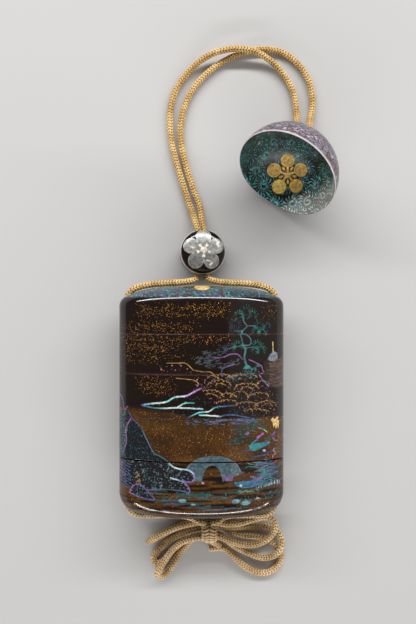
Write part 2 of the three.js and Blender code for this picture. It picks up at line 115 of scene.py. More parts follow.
BOW_LOOPS = {"left_upper": [(-0.6, -45.3, 8.2), (-4.5, -45.8, 8.3), (-9, -47.1, 8.2), (-13.6, -49.2, 7.6),
                            (-17.6, -51.6, 6.2), (-20, -53.6, 4), (-18.8, -54, 1.9), (-15.8, -52.5, 1.3),
                            (-12, -50.4, 1.3), (-8, -48.2, 1.3), (-4, -46.4, 1.4), (-2, -45.6, 1.6),
                            (-0.6, -45.4, 1.8)], "left_middle": [(-0.6, -48.3, 5), (-2.2, -48.6, 4.9),
                                                                 (-4.6, -49.6, 4.3), (-8.4, -51.4, 3),
                                                                 (-12.6, -54.3, 1.6), (-16.2, -57.6, 1.3),
                                                                 (-18.3, -60.6, 1.3), (-17.6, -62.5, 1.3),
                                                                 (-15.1, -62.2, 1.3), (-13, -59.8, 1.3),
                                                                 (-10.6, -57, 1.3), (-7.6, -54.2, 1.3),
                                                                 (-4.6, -51.2, 1.3), (-2.3, -49.2, 1.5),
                                                                 (-0.6, -48.7, 1.7)],
             "left_lower": [(-0.6, -51, 7.6), (-4.2, -51.8, 7.1), (-8, -53.8, 5.6), (-11.2, -57, 4.4),
                            (-13.6, -60.2, 4.6), (-15.5, -63.4, 4.8), (-16.7, -66.2, 4),
                            (-14.9, -67.6, 1.9), (-12.3, -65.3, 1.3), (-10.2, -61.8, 1.3),
                            (-7.6, -58, 1.3), (-4.6, -54.3, 2.3), (-2.3, -52, 3.6), (-0.6, -51.4, 3.9)],
             "right_upper": [(5.8, -45.4, 8.2), (9.5, -46.1, 7.7), (14, -46, 7), (19, -44.8, 6.4),
                             (23.5, -44, 5.9), (26.9, -45.4, 5.6), (27.6, -48.4, 5.4), (25.6, -51.8, 4.9),
                             (21.8, -54.3, 4.4), (17.4, -54.9, 4.5), (12.6, -53.7, 5.6), (8.8, -51.9, 7),
                             (7, -50.9, 7.6), (5.8, -50.6, 7.8)],
             "right_middle": [(5.8, -47.6, 5.2), (9.6, -48.2, 4), (14, -48.8, 2.4), (19, -48.9, 1.4),
                              (24, -48.8, 1.3), (28, -50.2, 1.5), (30.1, -53.2, 3), (29.6, -56.6, 4.3),
                              (27.2, -59.2, 3.6), (22.8, -60.4, 2), (17.6, -58.8, 1.3), (13, -56.2, 2.4),
                              (9.4, -53, 4.1), (7.2, -51.1, 4.6), (5.8, -50.6, 4.7)],
             "right_lower": [(5.9, -47.8, 2), (7.6, -48.4, 1.7), (9.8, -50.2, 1.3), (14, -51.8, 1.3),
                             (19.5, -52.3, 1.3), (24.5, -53.4, 1.3), (28.3, -56.4, 1.3),
                             (30.2, -60.2, 1.3), (28.8, -63.8, 1.3), (24.8, -66.3, 1.3), (20, -66, 1.3),
                             (15.6, -63.4, 1.3), (12, -60.2, 1.3), (8.6, -57.1, 1.5)], }


# ---- making meshes: a sheet of squares wrapped into a form ----
def wrapped(name, columns, rows, place):
    """A grid of columns by rows squares, moved to place(across, along) with both from 0 to 1.
    Its edges are welded where they meet, so a form that closes on itself is a closed skin.
    place gives the points in millimetres, and named values to keep at each of them."""
    shape = bmesh.new()
    bmesh.ops.create_grid(shape, x_segments=columns, y_segments=rows, size=0.5)
    flat = np.array([vertex.co[:2] for vertex in shape.verts]) + 0.5
    placed, kept = place(flat[:, 0], flat[:, 1])
    for vertex, point in zip(shape.verts, (placed * MM).tolist()):
        vertex.co = point
    for value, numbers in kept.items():
        layer = shape.verts.layers.float.new(value)
        for vertex, number in zip(shape.verts, numbers.tolist()):
            vertex[layer] = number
    bmesh.ops.remove_doubles(shape, verts=shape.verts, dist=1e-7)
    bmesh.ops.dissolve_degenerate(shape, edges=shape.edges, dist=1e-7)
    bmesh.ops.recalc_face_normals(shape, faces=shape.faces)
    return finished(name, shape)


def finished(name, shape, smooth=True):
    mesh = bpy.data.meshes.new(name)
    shape.to_mesh(mesh)
    shape.free()
    mesh.polygons.foreach_set("use_smooth", [smooth] * len(mesh.polygons))
    piece = bpy.data.objects.new(name, mesh)
    bpy.context.collection.objects.link(piece)
    return piece


def cutter_rod(start, end, radius):
    """A round rod from start to end, in millimetres, for boring a hole."""
    start, end = Vector(start), Vector(end)
    shape = bmesh.new()
    turn = (end - start).to_track_quat("Z", "Y").to_matrix().to_4x4()
    bmesh.ops.create_cone(shape, cap_ends=True, segments=32, radius1=radius * MM,
                          radius2=radius * MM, depth=(end - start).length * MM,
                          matrix=Matrix.Translation((start + end) / 2 * MM) @ turn)
    return finished("cutter", shape)


def cutter_ball(centre, radius):
    shape = bmesh.new()
    bmesh.ops.create_uvsphere(shape, u_segments=32, v_segments=16, radius=radius * MM,
                              matrix=Matrix.Translation(Vector(centre) * MM))
    return finished("cutter", shape)


def bored(piece, cutters):
    """Cuts the cutters out of a piece for good, and throws them away."""
    for cutter in cutters:
        cut = piece.modifiers.new("cut", "BOOLEAN")
        cut.object = cutter
        cut.solver = "EXACT"
    bpy.context.view_layer.update()
    solid = piece.evaluated_get(bpy.context.evaluated_depsgraph_get())
    mesh = bpy.data.meshes.new_from_object(solid)
    piece.modifiers.clear()
    piece.data = mesh
    for cutter in cutters:
        bpy.data.objects.remove(cutter)
    return piece


def points_of(piece):
    """A piece's points in millimetres."""
    flat = np.empty(len(piece.data.vertices) * 3)
    piece.data.vertices.foreach_get("co", flat)
    return flat.reshape(-1, 3) / MM


def give_colours(piece, name, colours):
    """Stores one colour, red, green, blue and cover, at each of a piece's points."""
    layer = piece.data.color_attributes.new(name, "FLOAT_COLOR", "POINT")
    layer.data.foreach_set("color", np.ascontiguousarray(colours, dtype=np.float32).ravel())


def give_values(piece, name, values):
    layer = piece.data.attributes.new(name, "FLOAT", "POINT")
    layer.data.foreach_set("value", np.ascontiguousarray(values, dtype=np.float32))


# ---- the cord: a braid of silk ----
BRAID_PITCH = 1.1
BRAID_COLUMNS = 4
BRAID_RELIEF = 0.3
CORD_STEP = 0.15
STITCH_SLANT = 0.62
STITCH_PLUMPNESS = 2.4


def smooth_line(points, step):
    """Even steps along a centripetal Catmull-Rom curve through the points."""
    given = np.array(points, float)
    ends = [2 * given[0] - given[1]], [2 * given[-1] - given[-2]]
    padded = np.concatenate([ends[0], given, ends[1]])
    knots = np.concatenate([[0], np.cumsum(np.linalg.norm(np.diff(padded, axis=0), axis=1) ** 0.5)])
    pieces = []
    for i in range(1, len(padded) - 2):
        p, t = padded[i - 1:i + 3], knots[i - 1:i + 3]
        now = np.linspace(t[1], t[2], 24, endpoint=False)[:, None]
        a = [(t[k + 1] - now) / (t[k + 1] - t[k]) * p[k] + (now - t[k]) / (t[k + 1] - t[k]) * p[k + 1]
             for k in range(3)]
        b = [(t[k + 2] - now) / (t[k + 2] - t[k]) * a[k] + (now - t[k]) / (t[k + 2] - t[k]) * a[k + 1]
             for k in range(2)]
        pieces.append((t[2] - now) / (t[2] - t[1]) * b[0] + (now - t[1]) / (t[2] - t[1]) * b[1])
    fine = np.concatenate(pieces + [given[-1:]])
    return even_steps(fine, step)


def even_steps(line, step):
    """Points spaced evenly along a line, about a step apart."""
    along = np.concatenate([[0], np.cumsum(np.linalg.norm(np.diff(line, axis=0), axis=1))])
    wanted = np.linspace(0, along[-1], max(2, round(along[-1] / step) + 1))
    return np.stack([np.interp(wanted, along, line[:, k]) for k in range(3)], axis=1)


def length_of(line):
    return float(np.linalg.norm(np.diff(line, axis=0), axis=1).sum())


def side_ways(line, first=(0, 0, 1), closed=False):
    """Two unit directions across the line at each of its points, carried along it without twist."""
    ahead = np.gradient(line, axis=0)
    if closed:
        ahead[0] = ahead[-1] = line[1] - line[-2]
    ahead /= np.linalg.norm(ahead, axis=1)[:, None]
    up = np.array(first, float)
    ups = np.empty_like(line)
    for i, way in enumerate(ahead):
        up = up - way * up.dot(way)
        up /= np.linalg.norm(up)
        ups[i] = up
    return ups, np.cross(ahead, ups)


def braid_height(around, stitches):
    """How far the braid stands out, from 0 in its creases to 1, at turns around and stitches along."""
    column = around * BRAID_COLUMNS
    slant = np.abs(2 * (column - np.floor(column)) - 1)
    stitch = stitches + slant * STITCH_SLANT
    across_stitch = np.abs(2 * (stitch - np.floor(stitch)) - 1)
    plump = 1 - across_stitch ** STITCH_PLUMPNESS
    beside = np.minimum(slant, 1 - slant)
    return plump * (0.45 + 0.55 * np.minimum(1, beside / 0.2))


def braided(name, line, sides=32, first=(0, 0, 1), closed=False, wide=1.0):
    """A round braided cord along a line of points in millimetres, or a wider flat one."""
    ups, outs = side_ways(line, first, closed)
    last = len(line) - 1
    stitches = length_of(line) / BRAID_PITCH
    if closed:
        stitches = round(stitches)

    def place(across, along):
        turn = across * TAU
        at = np.round(along * last).astype(int)
        height = braid_height(across, along * stitches)
        radius = CORD_DIAMETER / 2 - BRAID_RELIEF * (1 - height)
        if not closed:
            radius = np.where((at == 0) | (at == last), 0, radius)
        sideways = wide * ups[at] * np.cos(turn)[:, None] + outs[at] * np.sin(turn)[:, None]
        return line[at] + sideways * radius[:, None], {"plump": height}

    return wrapped(name, sides, last, place)


def ease_ends(line, tip=0.05):
    """Doubles the first and last points, so that a flat end closes the tube."""
    ahead = (line[1] - line[0]) / np.linalg.norm(line[1] - line[0])
    behind = (line[-1] - line[-2]) / np.linalg.norm(line[-1] - line[-2])
    return np.concatenate([[line[0] - ahead * tip], line, [line[-1] + behind * tip]])


def declared_cord(name, points, nodes, sides=32, first=(0, 0, 1)):
    """Builds one length of the cord, hangs it on the root and hides the model's nodes it replaces."""
    line = smooth_line(points, CORD_STEP)
    piece = braided(name, ease_ends(line), sides, first)
    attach(piece, "root")
    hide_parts(*nodes)
    return piece


def into_knot(points):
    """A bow loop's route with both ends carried on to the middle of the knot."""
    ends = [(KNOT_CENTRE[0] + (0.2 if points[0][0] > KNOT_CENTRE[0] else -0.2), y, z)
            for _, y, z in (points[0], points[-1])]
    return [ends[0]] + points + [ends[1]]


cords = []
for side, lid_route, arc_route in (("left", LEFT_LID, LEFT_ARC), ("right", RIGHT_LID, RIGHT_ARC)):
    cords.append(declared_cord(f"cord_{side}", lid_route + arc_route[1:],
                               (f"cord_{side}_lid", f"cord_{side}_arc"), sides=30))
for side, route, inner_x in (("left", LEFT_LEAD, 1.6), ("right", RIGHT_LEAD, 3.6)):
    cords.append(declared_cord(f"lead_{side}", route + [(inner_x, -45.2, 10.8)],
                               (f"cord_{side}_lead",)))
for name, route in BOW_LOOPS.items():
    route = into_knot(route)
    cords.append(declared_cord(f"bow_{name}", route, (f"cord_bow_{name}",)))


# ---- the knot: one wide flat wrap of the same cord round the legs of the bow, a core inside it, and its tucked end ----
def joined(name, pieces):
    """Several pieces made into one."""
    with bpy.context.temp_override(active_object=pieces[0], selected_editable_objects=pieces):
        bpy.ops.object.join()
    pieces[0].name = name
    return pieces[0]


def make_knot():
    reach = CORD_DIAMETER / 2 + 0.02
    turns = np.linspace(0, TAU, 150)
    along, up = KNOT_WRAP_REACH
    ring = np.stack([KNOT_CENTRE[0] + 0.3 + 0 * turns, KNOT_CENTRE[1] + (along - reach) * np.cos(turns),
                     KNOT_CENTRE[2] + (up - reach) * np.sin(turns)], axis=1)
    wraps = [braided("wrap", ring, 64, first=(1, 0, 0), closed=True, wide=KNOT_WRAP_WIDE)]
    wraps.append(braided("tail", ease_ends(smooth_line(KNOT_TAIL, CORD_STEP)), 28))
    core = bmesh.new()
    bmesh.ops.create_uvsphere(core, u_segments=24, v_segments=16, radius=1)
    bmesh.ops.scale(core, vec=Vector(KNOT_CORE) * MM, verts=core.verts)
    bmesh.ops.translate(core, vec=Vector(KNOT_CENTRE) * MM, verts=core.verts)
    knot = joined("cord_knot_wraps", wraps + [finished("core", core)])
    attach(knot, "root")
    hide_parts("cord_knot")
    return knot


knot = make_knot()


# ---- the inro's section: an oval a little fuller than an ellipse ----
def oval(angle, half_width, half_depth):
    power = 2 / SECTION_POWER
    x = np.sign(np.cos(angle)) * np.abs(np.cos(angle)) ** power
    z = np.sign(np.sin(angle)) * np.abs(np.sin(angle)) ** power
    return x * half_width, z * half_depth


def measure_section():
    """Angles all round the section, from the back over the left, the front and the right, and how
    far round each one is from the middle of the front, in millimetres."""
    angles = np.linspace(1.5 * math.pi, -0.5 * math.pi, 20001)
    x, z = oval(angles, HALF_WIDTH, HALF_DEPTH)
    round_it = np.concatenate([[0], np.cumsum(np.hypot(np.diff(x), np.diff(z)))])
    return angles, round_it - round_it[-1] / 2


SECTION_ANGLES, SECTION_ROUND = measure_section()
SECTION_LENGTH = SECTION_ROUND[-1] * 2
SECTION_COLUMNS = 564
WALL_STEP = 0.25
UNCUT = 99


def section_angle(across):
    return np.interp((across - 0.5) * SECTION_LENGTH, SECTION_ROUND, SECTION_ANGLES)


def distance_round(points):
    """How far round the section each point is from the middle of the front, in millimetres."""
    x, z = points[:, 0] / HALF_WIDTH, (points[:, 2] - MIDDLE_Z) / HALF_DEPTH
    cosine = np.sign(x) * np.abs(x) ** (SECTION_POWER / 2)
    sine = np.sign(z) * np.abs(z) ** (SECTION_POWER / 2)
    angle = np.arctan2(sine, cosine)
    angle = np.where(angle < -math.pi / 2, angle + TAU, angle)
    return np.interp(-angle, -SECTION_ANGLES, SECTION_ROUND)


def tier(name, rows):
    """A closed skin through rows of the section. A row is (y, share of the size kept, inset,
    half width at which the ends are cut straight)."""
    table = np.array(rows, float)

    def place(across, along):
        row = table[np.round(along * (len(table) - 1)).astype(int)]
        y, share, inset, cut = row.T
        x, z = oval(section_angle(across), HALF_WIDTH - inset, HALF_DEPTH - inset)
        x = np.clip(x, -cut, cut) * share
        z = z * share + MIDDLE_Z
        return np.stack([x, y, np.maximum(z, 0)], axis=1), {}

    return wrapped(name, SECTION_COLUMNS, len(rows) - 1, place)


def wall_rows(from_y, to_y):
    steps = round(abs(to_y - from_y) / WALL_STEP)
    return [(y, 1, 0, UNCUT) for y in np.linspace(from_y, to_y, steps + 1)]


def dome_rows(side, profile, rise, steps):
    """Rows over the lid or under the lowest case, through a profile of (share, height past the
    shoulder), smoothed, from the wall to the middle."""
    points = (*profile, (0.0001, rise))
    line = smooth_line([(0, HALF_WIDTH * share, height) for share, height in points], 0.05)
    line = even_steps(line, length_of(line) / steps)
    return [(side * (SHOULDER_Y + height), reach / HALF_WIDTH, 0, UNCUT)
            for _, reach, height in line.tolist()]


# Rings inside the wall: (inset from the section, half width at which the ends are cut straight).
RISER = (2.15, 23.2)
COMPARTMENT = (3.65, 21.7)
SKIRT = (1.8, 23.55)
# The soft edge of a seam: (distance from the edge along the stack, inset).
RIM_EDGE = ((0.04, 0), (0.01, 0.025), (0, 0.08))
WALL_END = RIM_EDGE[0][0]
RECESS_HEIGHT = RISER_HEIGHT + 0.65
CASE_FLOOR = 7.05
LOWEST_FLOOR_Y = -38.35
LID_CEILING = ((38.65, 1), (40.25, 0.6))
LID_RISE, LID_ROWS = 4.6, 110
BASE_RISE, BASE_ROWS = 3.2, 100
MOUTH_X = 25.9
MOUTH_RADIUS = 3
# Domes from the wall to the middle: (share of the section kept, height past the shoulder).
LID_DOME = ((1, -2.8), (0.99, -1.4), (0.96, -0.1), (0.92, 0.75), (0.8, 2.2), (0.6, 3.55), (0.33, 4.4))
BASE_DOME = ((1, -5), (0.985, -3.2), (0.955, -1.4), (0.91, 0), (0.85, 1), (0.72, 2), (0.5, 2.75),
             (0.25, 3.1))


def channels():
    """Two rods through the whole stack, where the cord runs."""
    return [cutter_rod((side * CHANNEL_X, -60, MIDDLE_Z), (side * CHANNEL_X, 60, MIDDLE_Z),
                       CHANNEL_RADIUS) for side in (-1, 1)]


def mouths(side_y):
    """Two balls that widen the ends of the channels, on the lid or under the base."""
    return [cutter_ball((side * MOUTH_X, side_y * (SHOULDER_Y + 1.9), MIDDLE_Z + 0.04), MOUTH_RADIUS)
            for side in (-1, 1)]


def under_rim(edge_y):
    """The turned-in lower edge of a wall, and the recess over the riser below it."""
    rim = [(edge_y + up, 1, inset, UNCUT) for up, inset in RIM_EDGE]
    return rim + [(edge_y, 1, *SKIRT), (edge_y + RECESS_HEIGHT, 1, *SKIRT)]


def over_rim(top_y):
    """The riser with its compartment's edge, and the ledge round it."""
    high = top_y + RISER_HEIGHT
    rim = [(top_y - down, 1, inset, UNCUT) for down, inset in RIM_EDGE[::-1]]
    return [(high, 1, *COMPARTMENT), (high, 1, *RISER), (top_y, 1, *RISER)] + rim


def make_tiers():
    edges = [(y + half, y - half) for y, half in zip(SEAMS_Y, SEAM_HALF_GAPS)]
    made = []
    edge_y = edges[0][0]
    rows = dome_rows(1, LID_DOME, LID_RISE, LID_ROWS)[::-1]
    rows += wall_rows(rows[-1][0], edge_y + WALL_END)[1:] + under_rim(edge_y)[1:]
    rows += [(edge_y + RECESS_HEIGHT, 1, *COMPARTMENT)]
    rows += [(y, share, *COMPARTMENT) for y, share in LID_CEILING] + [(LID_CEILING[-1][0], 0, 0, UNCUT)]
    made.append(bored(tier("lid_shell", rows), channels() + mouths(1)))
    for number in range(1, 4):
        top_y, edge_y = edges[number - 1][1], edges[number][0]
        floor_y = edge_y + CASE_FLOOR
        rows = [(floor_y, 0, 0, UNCUT), (floor_y, 1, *COMPARTMENT)] + over_rim(top_y)
        rows += wall_rows(top_y - WALL_END, edge_y + WALL_END)[1:] + under_rim(edge_y)[1:]
        rows += [(edge_y + RECESS_HEIGHT, 0, 0, UNCUT)]
        made.append(bored(tier(f"case_{number}_shell", rows), channels()))
    top_y = edges[3][1]
    rows = [(LOWEST_FLOOR_Y, 0, 0, UNCUT), (LOWEST_FLOOR_Y, 1, *COMPARTMENT)] + over_rim(top_y)
    dome = dome_rows(-1, BASE_DOME, BASE_RISE, BASE_ROWS)
    rows += wall_rows(top_y - WALL_END, dome[0][0])[1:] + dome[1:]
    made.append(bored(tier("case_4_shell", rows), channels() + mouths(-1)))
    for piece, node in zip(made, ("inro_lid", "inro_case_1", "inro_case_2", "inro_case_3",
                                  "inro_case_4")):
        piece.data.set_sharp_from_angle(angle=CREASE_ANGLE)
        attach(piece, "root")
        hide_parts(node)
    return made


tiers = make_tiers()


# ---- the bead: a thick domed disc, lying flat, with the cord's hole through its rim ----
BEAD_CENTRE = (0.3, 55.3)
BEAD_TILT_X = -0.05
BEAD_TILT_Y = 0.08
BEAD_HALF = 5.2
BEAD_COLUMNS = 216
BEAD_HOLE_RADIUS = 3.2
BEAD_FLATTENED = 0.15


def make_bead():
    quarter = [(0, BEAD_HALF), (1.5, BEAD_HALF - 0.04), (4.35, BEAD_HALF - 0.35),
               (6.85, BEAD_HALF - 1.05), (8, BEAD_HALF - 1.9), (8.5, BEAD_HALF - 3.2), (BEAD_RADIUS, 0)]
    profile = [(radius, height, 0) for radius, height in quarter]
    profile += [(radius, -height, 0) for radius, height in quarter[-2::-1]]
    line = smooth_line(profile, 0.24)
    rows = len(line) - 1
    tilt = np.array(Matrix.Rotation(BEAD_TILT_Y, 3, "Y") @ Matrix.Rotation(BEAD_TILT_X, 3, "X"))

    def place(across, along):
        radius, height, _ = line[np.round(along * rows).astype(int)].T
        turn = across * TAU
        points = np.stack([radius * np.cos(turn), radius * np.sin(turn), height], axis=1) @ tilt.T
        return points, {}

    bead = wrapped("bead_body", BEAD_COLUMNS, rows, place)
    low = min(vertex.co.z for vertex in bead.data.vertices)
    centre_z = -low - BEAD_FLATTENED * MM
    bead.data.transform(Matrix.Translation((BEAD_CENTRE[0] * MM, BEAD_CENTRE[1] * MM, centre_z)))
    for vertex in bead.data.vertices:
        vertex.co.z = max(vertex.co.z, 0)
    x, y, z = *BEAD_CENTRE, centre_z / MM
    bored(bead, [cutter_rod((x, y - 20, z), (x, y + 20, z), BEAD_HOLE_RADIUS)])
    bead.data.set_sharp_from_angle(angle=CREASE_ANGLE)
    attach(bead, "root")
    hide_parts("ojime_bead")
    return bead, np.array([*BEAD_CENTRE, z]), tilt


bead, bead_centre, bead_tilt = make_bead()


# ---- the toggle: half a hollow ball, open to the lower left ----
def bowl_axes():
    """The way the bowl opens, the level way along its rim, and the way down to its lowest edge."""
    opening = BOWL_OPENING / np.linalg.norm(BOWL_OPENING)
    along = np.cross([0, 0, 1], opening)
    along /= np.linalg.norm(along)
    down = np.cross(along, opening)
    return opening, along, -down if down[2] > 0 else down


BOWL_OUT, BOWL_ALONG, BOWL_DOWN = bowl_axes()


BOWL_COLUMNS = 480
BOWL_INNER_ROWS = 160
BOWL_OUTER_ROWS = 36
RIM_THINNING = 1.25


def rim_dip(turn):
    """How far short of half a ball the rim stops, in radians, at turns from its lowest point."""
    return 0.085 * np.exp(-(turn / 0.55) ** 2)


def hole_rod(route):
    """A rod along a route's last straight step, ending in the thick foot of the bowl."""
    start, end = np.array(route[-2], float), np.array(route[-1], float)
    way = (end - start) / np.linalg.norm(end - start)
    return cutter_rod(start - way * 3, end + way * 0.45, CHANNEL_RADIUS)


def make_bowl():
    """The inner skin from its middle out, over the rim, and the outer skin back to its middle."""
    inner = BOWL_RADIUS - BOWL_WALL
    rows = [(share * 0.994, inner + RIM_THINNING * share ** 6, BOWL_FOOT)
            for share in np.linspace(0.0005, 1, BOWL_INNER_ROWS)]
    rows += [(0.999, BOWL_RADIUS - 0.5, 0), (1.0, BOWL_RADIUS - 0.3, 0), (0.999, BOWL_RADIUS - 0.1, 0)]
    rows += [(share * 0.996, BOWL_RADIUS, 0) for share in np.linspace(1, 0.0005, BOWL_OUTER_ROWS)]
    table = np.array(rows)

    def place(across, along):
        share, radius, raised = table[np.round(along * (len(table) - 1)).astype(int)].T
        turn = across * TAU
        from_low = np.minimum(turn, TAU - turn)
        polar = share * (math.pi / 2 - rim_dip(from_low))
        points = BOWL_CENTRE + (radius * np.sin(polar) * np.cos(turn))[:, None] * BOWL_DOWN
        points += (radius * np.sin(polar) * np.sin(turn))[:, None] * BOWL_ALONG
        points -= ((radius - raised) * np.cos(polar))[:, None] * BOWL_OUT
        points[:, 2] = np.maximum(points[:, 2], 0)
        return points, {}

    bowl = wrapped("toggle_bowl", BOWL_COLUMNS, len(rows) - 1, place)
    bored(bowl, [hole_rod(LEFT_ARC), hole_rod(RIGHT_ARC)])
    bowl.data.set_sharp_from_angle(angle=CREASE_ANGLE)
    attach(bowl, "root")
    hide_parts("netsuke_bowl")
    return bowl


bowl = make_bowl()


# ---- painting: sheets in millimetres from which the points of a surface take their colours ----
BLACK_LACQUER = (0.006, 0.0018, 0.0006)
GOLD = (0.62, 0.36, 0.085)
PALE_GOLD = (0.78, 0.54, 0.2)
TEAL = (0.045, 0.27, 0.26)
DEEP_TEAL = (0.016, 0.11, 0.11)
SEA_GREEN = (0.05, 0.37, 0.26)
BLUE = (0.07, 0.13, 0.36)
SLATE = (0.075, 0.11, 0.14)
LILAC = (0.3, 0.13, 0.38)
PINK = (0.52, 0.16, 0.3)
WHITE_SHELL = (0.72, 0.86, 0.84)
BROWN_GOLD = (0.105, 0.046, 0.008)
RUST = (0.085, 0.025, 0.006)


def blended(first, second, share):
    return tuple(a + (b - a) * share for a, b in zip(first, second))


def darkened(colour, share):
    """A colour with a share of the black lacquer in it."""
    return blended(colour, BLACK_LACQUER, share)


def five_ways(first):
    """Five unit directions spread evenly, from the first one in degrees."""
    angles = np.radians(first + 72 * np.arange(5))
    return np.stack([np.cos(angles), np.sin(angles)], axis=1)


def lattice_noise(x, y, cell_x, cell_y, seed):
    """Smooth noise from 0 to 1, with bumps about cell_x by cell_y millimetres."""
    cells = 64
    grid = np.random.default_rng(seed).random((cells, cells))
    u, v = np.asarray(x) / cell_x + 1000, np.asarray(y) / cell_y + 1000
    i, j = np.floor(u).astype(int), np.floor(v).astype(int)
    du, dv = u - i, v - j
    du, dv = du * du * (3 - 2 * du), dv * dv * (3 - 2 * dv)

    def pick(column, row):
        return grid[row % cells, column % cells]

    near = pick(i, j) * (1 - du) + pick(i + 1, j) * du
    far = pick(i, j + 1) * (1 - du) + pick(i + 1, j + 1) * du
    return near * (1 - dv) + far * dv


def soft_step(value, low, high):
    share = np.clip((value - low) / (high - low), 0, 1)
    return share * share * (3 - 2 * share)


CURVE_STEP = 0.5
LEAF_GAP = 0.85
SCROLL_TURNS = 1.35 * TAU
ROCK_GROUND = (0.008, 0.008, 0.01)
GLOWING_TEAL = (0.2, 0.7, 0.66)


class Sheet:
    """A painting on black lacquer: shell and gold laid in, gold dust sprinkled, ground tinted."""

    def __init__(self, low, high, step=0.12, ground=BLACK_LACQUER):
        self.low, self.step = np.array(low, float), step
        columns, rows = np.ceil((np.array(high) - low) / step).astype(int) + 1
        self.inlay = np.zeros((rows, columns, 5))  # red, green and blue times cover, cover, gold
        self.x, self.y = np.meshgrid(low[0] + step * np.arange(columns), low[1] + step * np.arange(rows))
        self.ground = np.zeros((rows, columns, 3)) + ground
        self.dust = np.zeros((rows, columns))
        self.random = np.random.default_rng(11)

    def window(self, points, reach):
        spread = np.asarray(points, float)
        first = np.floor((spread.min(axis=0) - reach - self.low) / self.step).astype(int)
        last = np.ceil((spread.max(axis=0) + reach - self.low) / self.step).astype(int) + 1
        first, last = np.maximum(first, 0), np.maximum(last, 0)
        return slice(first[1], last[1]), slice(first[0], last[0])

    def lay(self, window, cover, colour, gold):
        cover = cover[..., None]
        laid = np.array([*colour, 1, 1 if gold else 0])
        self.inlay[window] = self.inlay[window] * (1 - cover) + laid * cover

    def stroke(self, points, width, colour, gold=False, taper=False):
        """A line through the points. A tapered one swells from a fine tip and back to one."""
        points = np.asarray(points, float)
        count = len(points) - 1
        for i in range(count):
            start, end = points[i], points[i + 1]
            window = self.window((start, end), width)
            x, y = self.x[window], self.y[window]
            if x.size == 0:
                continue
            way = end - start
            share = ((x - start[0]) * way[0] + (y - start[1]) * way[1]) / max(way.dot(way), 1e-9)
            share = np.clip(share, 0, 1)
            away = np.hypot(x - start[0] - share * way[0], y - start[1] - share * way[1])
            half = width / 2
            if taper:
                half = half * np.sin(math.pi * np.clip((i + share) / count, 0.06, 0.94)) ** 0.7
            self.lay(window, np.clip((half - away) / self.step + 0.5, 0, 1), colour, gold)

    def disc(self, x, y, radius, colour, gold=False):
        window = self.window([(x, y)], radius + self.step)
        away = np.hypot(self.x[window] - x, self.y[window] - y)
        self.lay(window, np.clip((radius - away) / self.step + 0.5, 0, 1), colour, gold)

    def patch(self, outline, colour, gold=False):
        """Fills a closed outline."""
        outline = np.asarray(outline, float)
        window = self.window(outline, self.step)
        self.lay(window, self.inside(outline, window), colour, gold)

    def inside(self, outline, window):
        x, y = self.x[window], self.y[window]
        odd = np.zeros(x.shape, bool)
        for (x1, y1), (x2, y2) in zip(outline, np.roll(outline, -1, axis=0)):
            if y1 != y2:
                odd ^= ((y1 > y) != (y2 > y)) & (x < (x2 - x1) * (y - y1) / (y2 - y1) + x1)
        return odd.astype(float)

    def clear(self, outline, tint=BLACK_LACQUER):
        """Takes away all that is inside an outline, down to the ground, and tints the ground."""
        outline = np.asarray(outline, float)
        window = self.window(outline, self.step)
        inside = self.inside(outline, window)[..., None]
        self.inlay[window] *= 1 - inside
        self.ground[window] = self.ground[window] * (1 - inside) + np.array(tint) * inside
        self.dust[window] *= 1 - inside[..., 0]

    def curve(self, points, width, colours, gold=False):
        """A smooth line whose colour runs through the given ones along it."""
        line = smooth_line([(x, y, 0) for x, y in points], CURVE_STEP)[:, :2]
        for i in range(len(line) - 1):
            place = i / max(1, len(line) - 2) * (len(colours) - 1)
            first = min(int(place), len(colours) - 1)
            second = min(first + 1, len(colours) - 1)
            self.stroke(line[i:i + 2], width, blended(colours[first], colours[second], place - first),
                        gold)

    def curves(self, *lines):
        """Several smooth lines. A line is (points, width, colours)."""
        for points, width, colours in lines:
            self.curve(points, width, colours)

    def leaf(self, x, y, angle, length, width, bend, colour):
        turn = angle + bend * np.linspace(-0.5, 0.5, 4)
        steps = np.stack([np.cos(turn), np.sin(turn)], axis=1) * length / 4
        points = np.concatenate([[(x, y)], (x, y) + np.cumsum(steps, axis=0)])
        self.stroke(points, width, colour, taper=True)

    def fan(self, x, y, reach, from_angle, to_angle, count, colours, width=0.21):
        """A tuft of pine needles."""
        for angle in np.linspace(from_angle, to_angle, count):
            angle = math.radians(angle + self.random.uniform(-4, 4))
            far = reach * self.random.uniform(0.8, 1.05)
            way = np.array([math.cos(angle), math.sin(angle)])
            colour = colours[self.random.integers(len(colours))]
            colour = darkened(colour, self.random.uniform(0.35, 0.7))
            self.stroke([np.array([x, y]) + way * far * 0.45, np.array([x, y]) + way * far],
                        width, colour)

    def dots(self, outline, count, radius, colours):
        """Specks of shell scattered inside an outline."""
        outline = np.asarray(outline, float)
        low, high = outline.min(axis=0), outline.max(axis=0)
        spots = self.random.uniform(low, high, (count, 2))
        columns = np.round((spots - self.low) / self.step).astype(int)
        window = (slice(None), slice(None))
        mask = self.inside(outline, window)
        for (x, y), (i, j) in zip(spots, columns):
            if 0 <= j < mask.shape[0] and 0 <= i < mask.shape[1] and mask[j, i]:
                colour = colours[self.random.integers(len(colours))]
                shade = self.random.uniform(0, 0.6)
                self.disc(x, y, radius * self.random.uniform(0.6, 1.25), darkened(colour, shade))

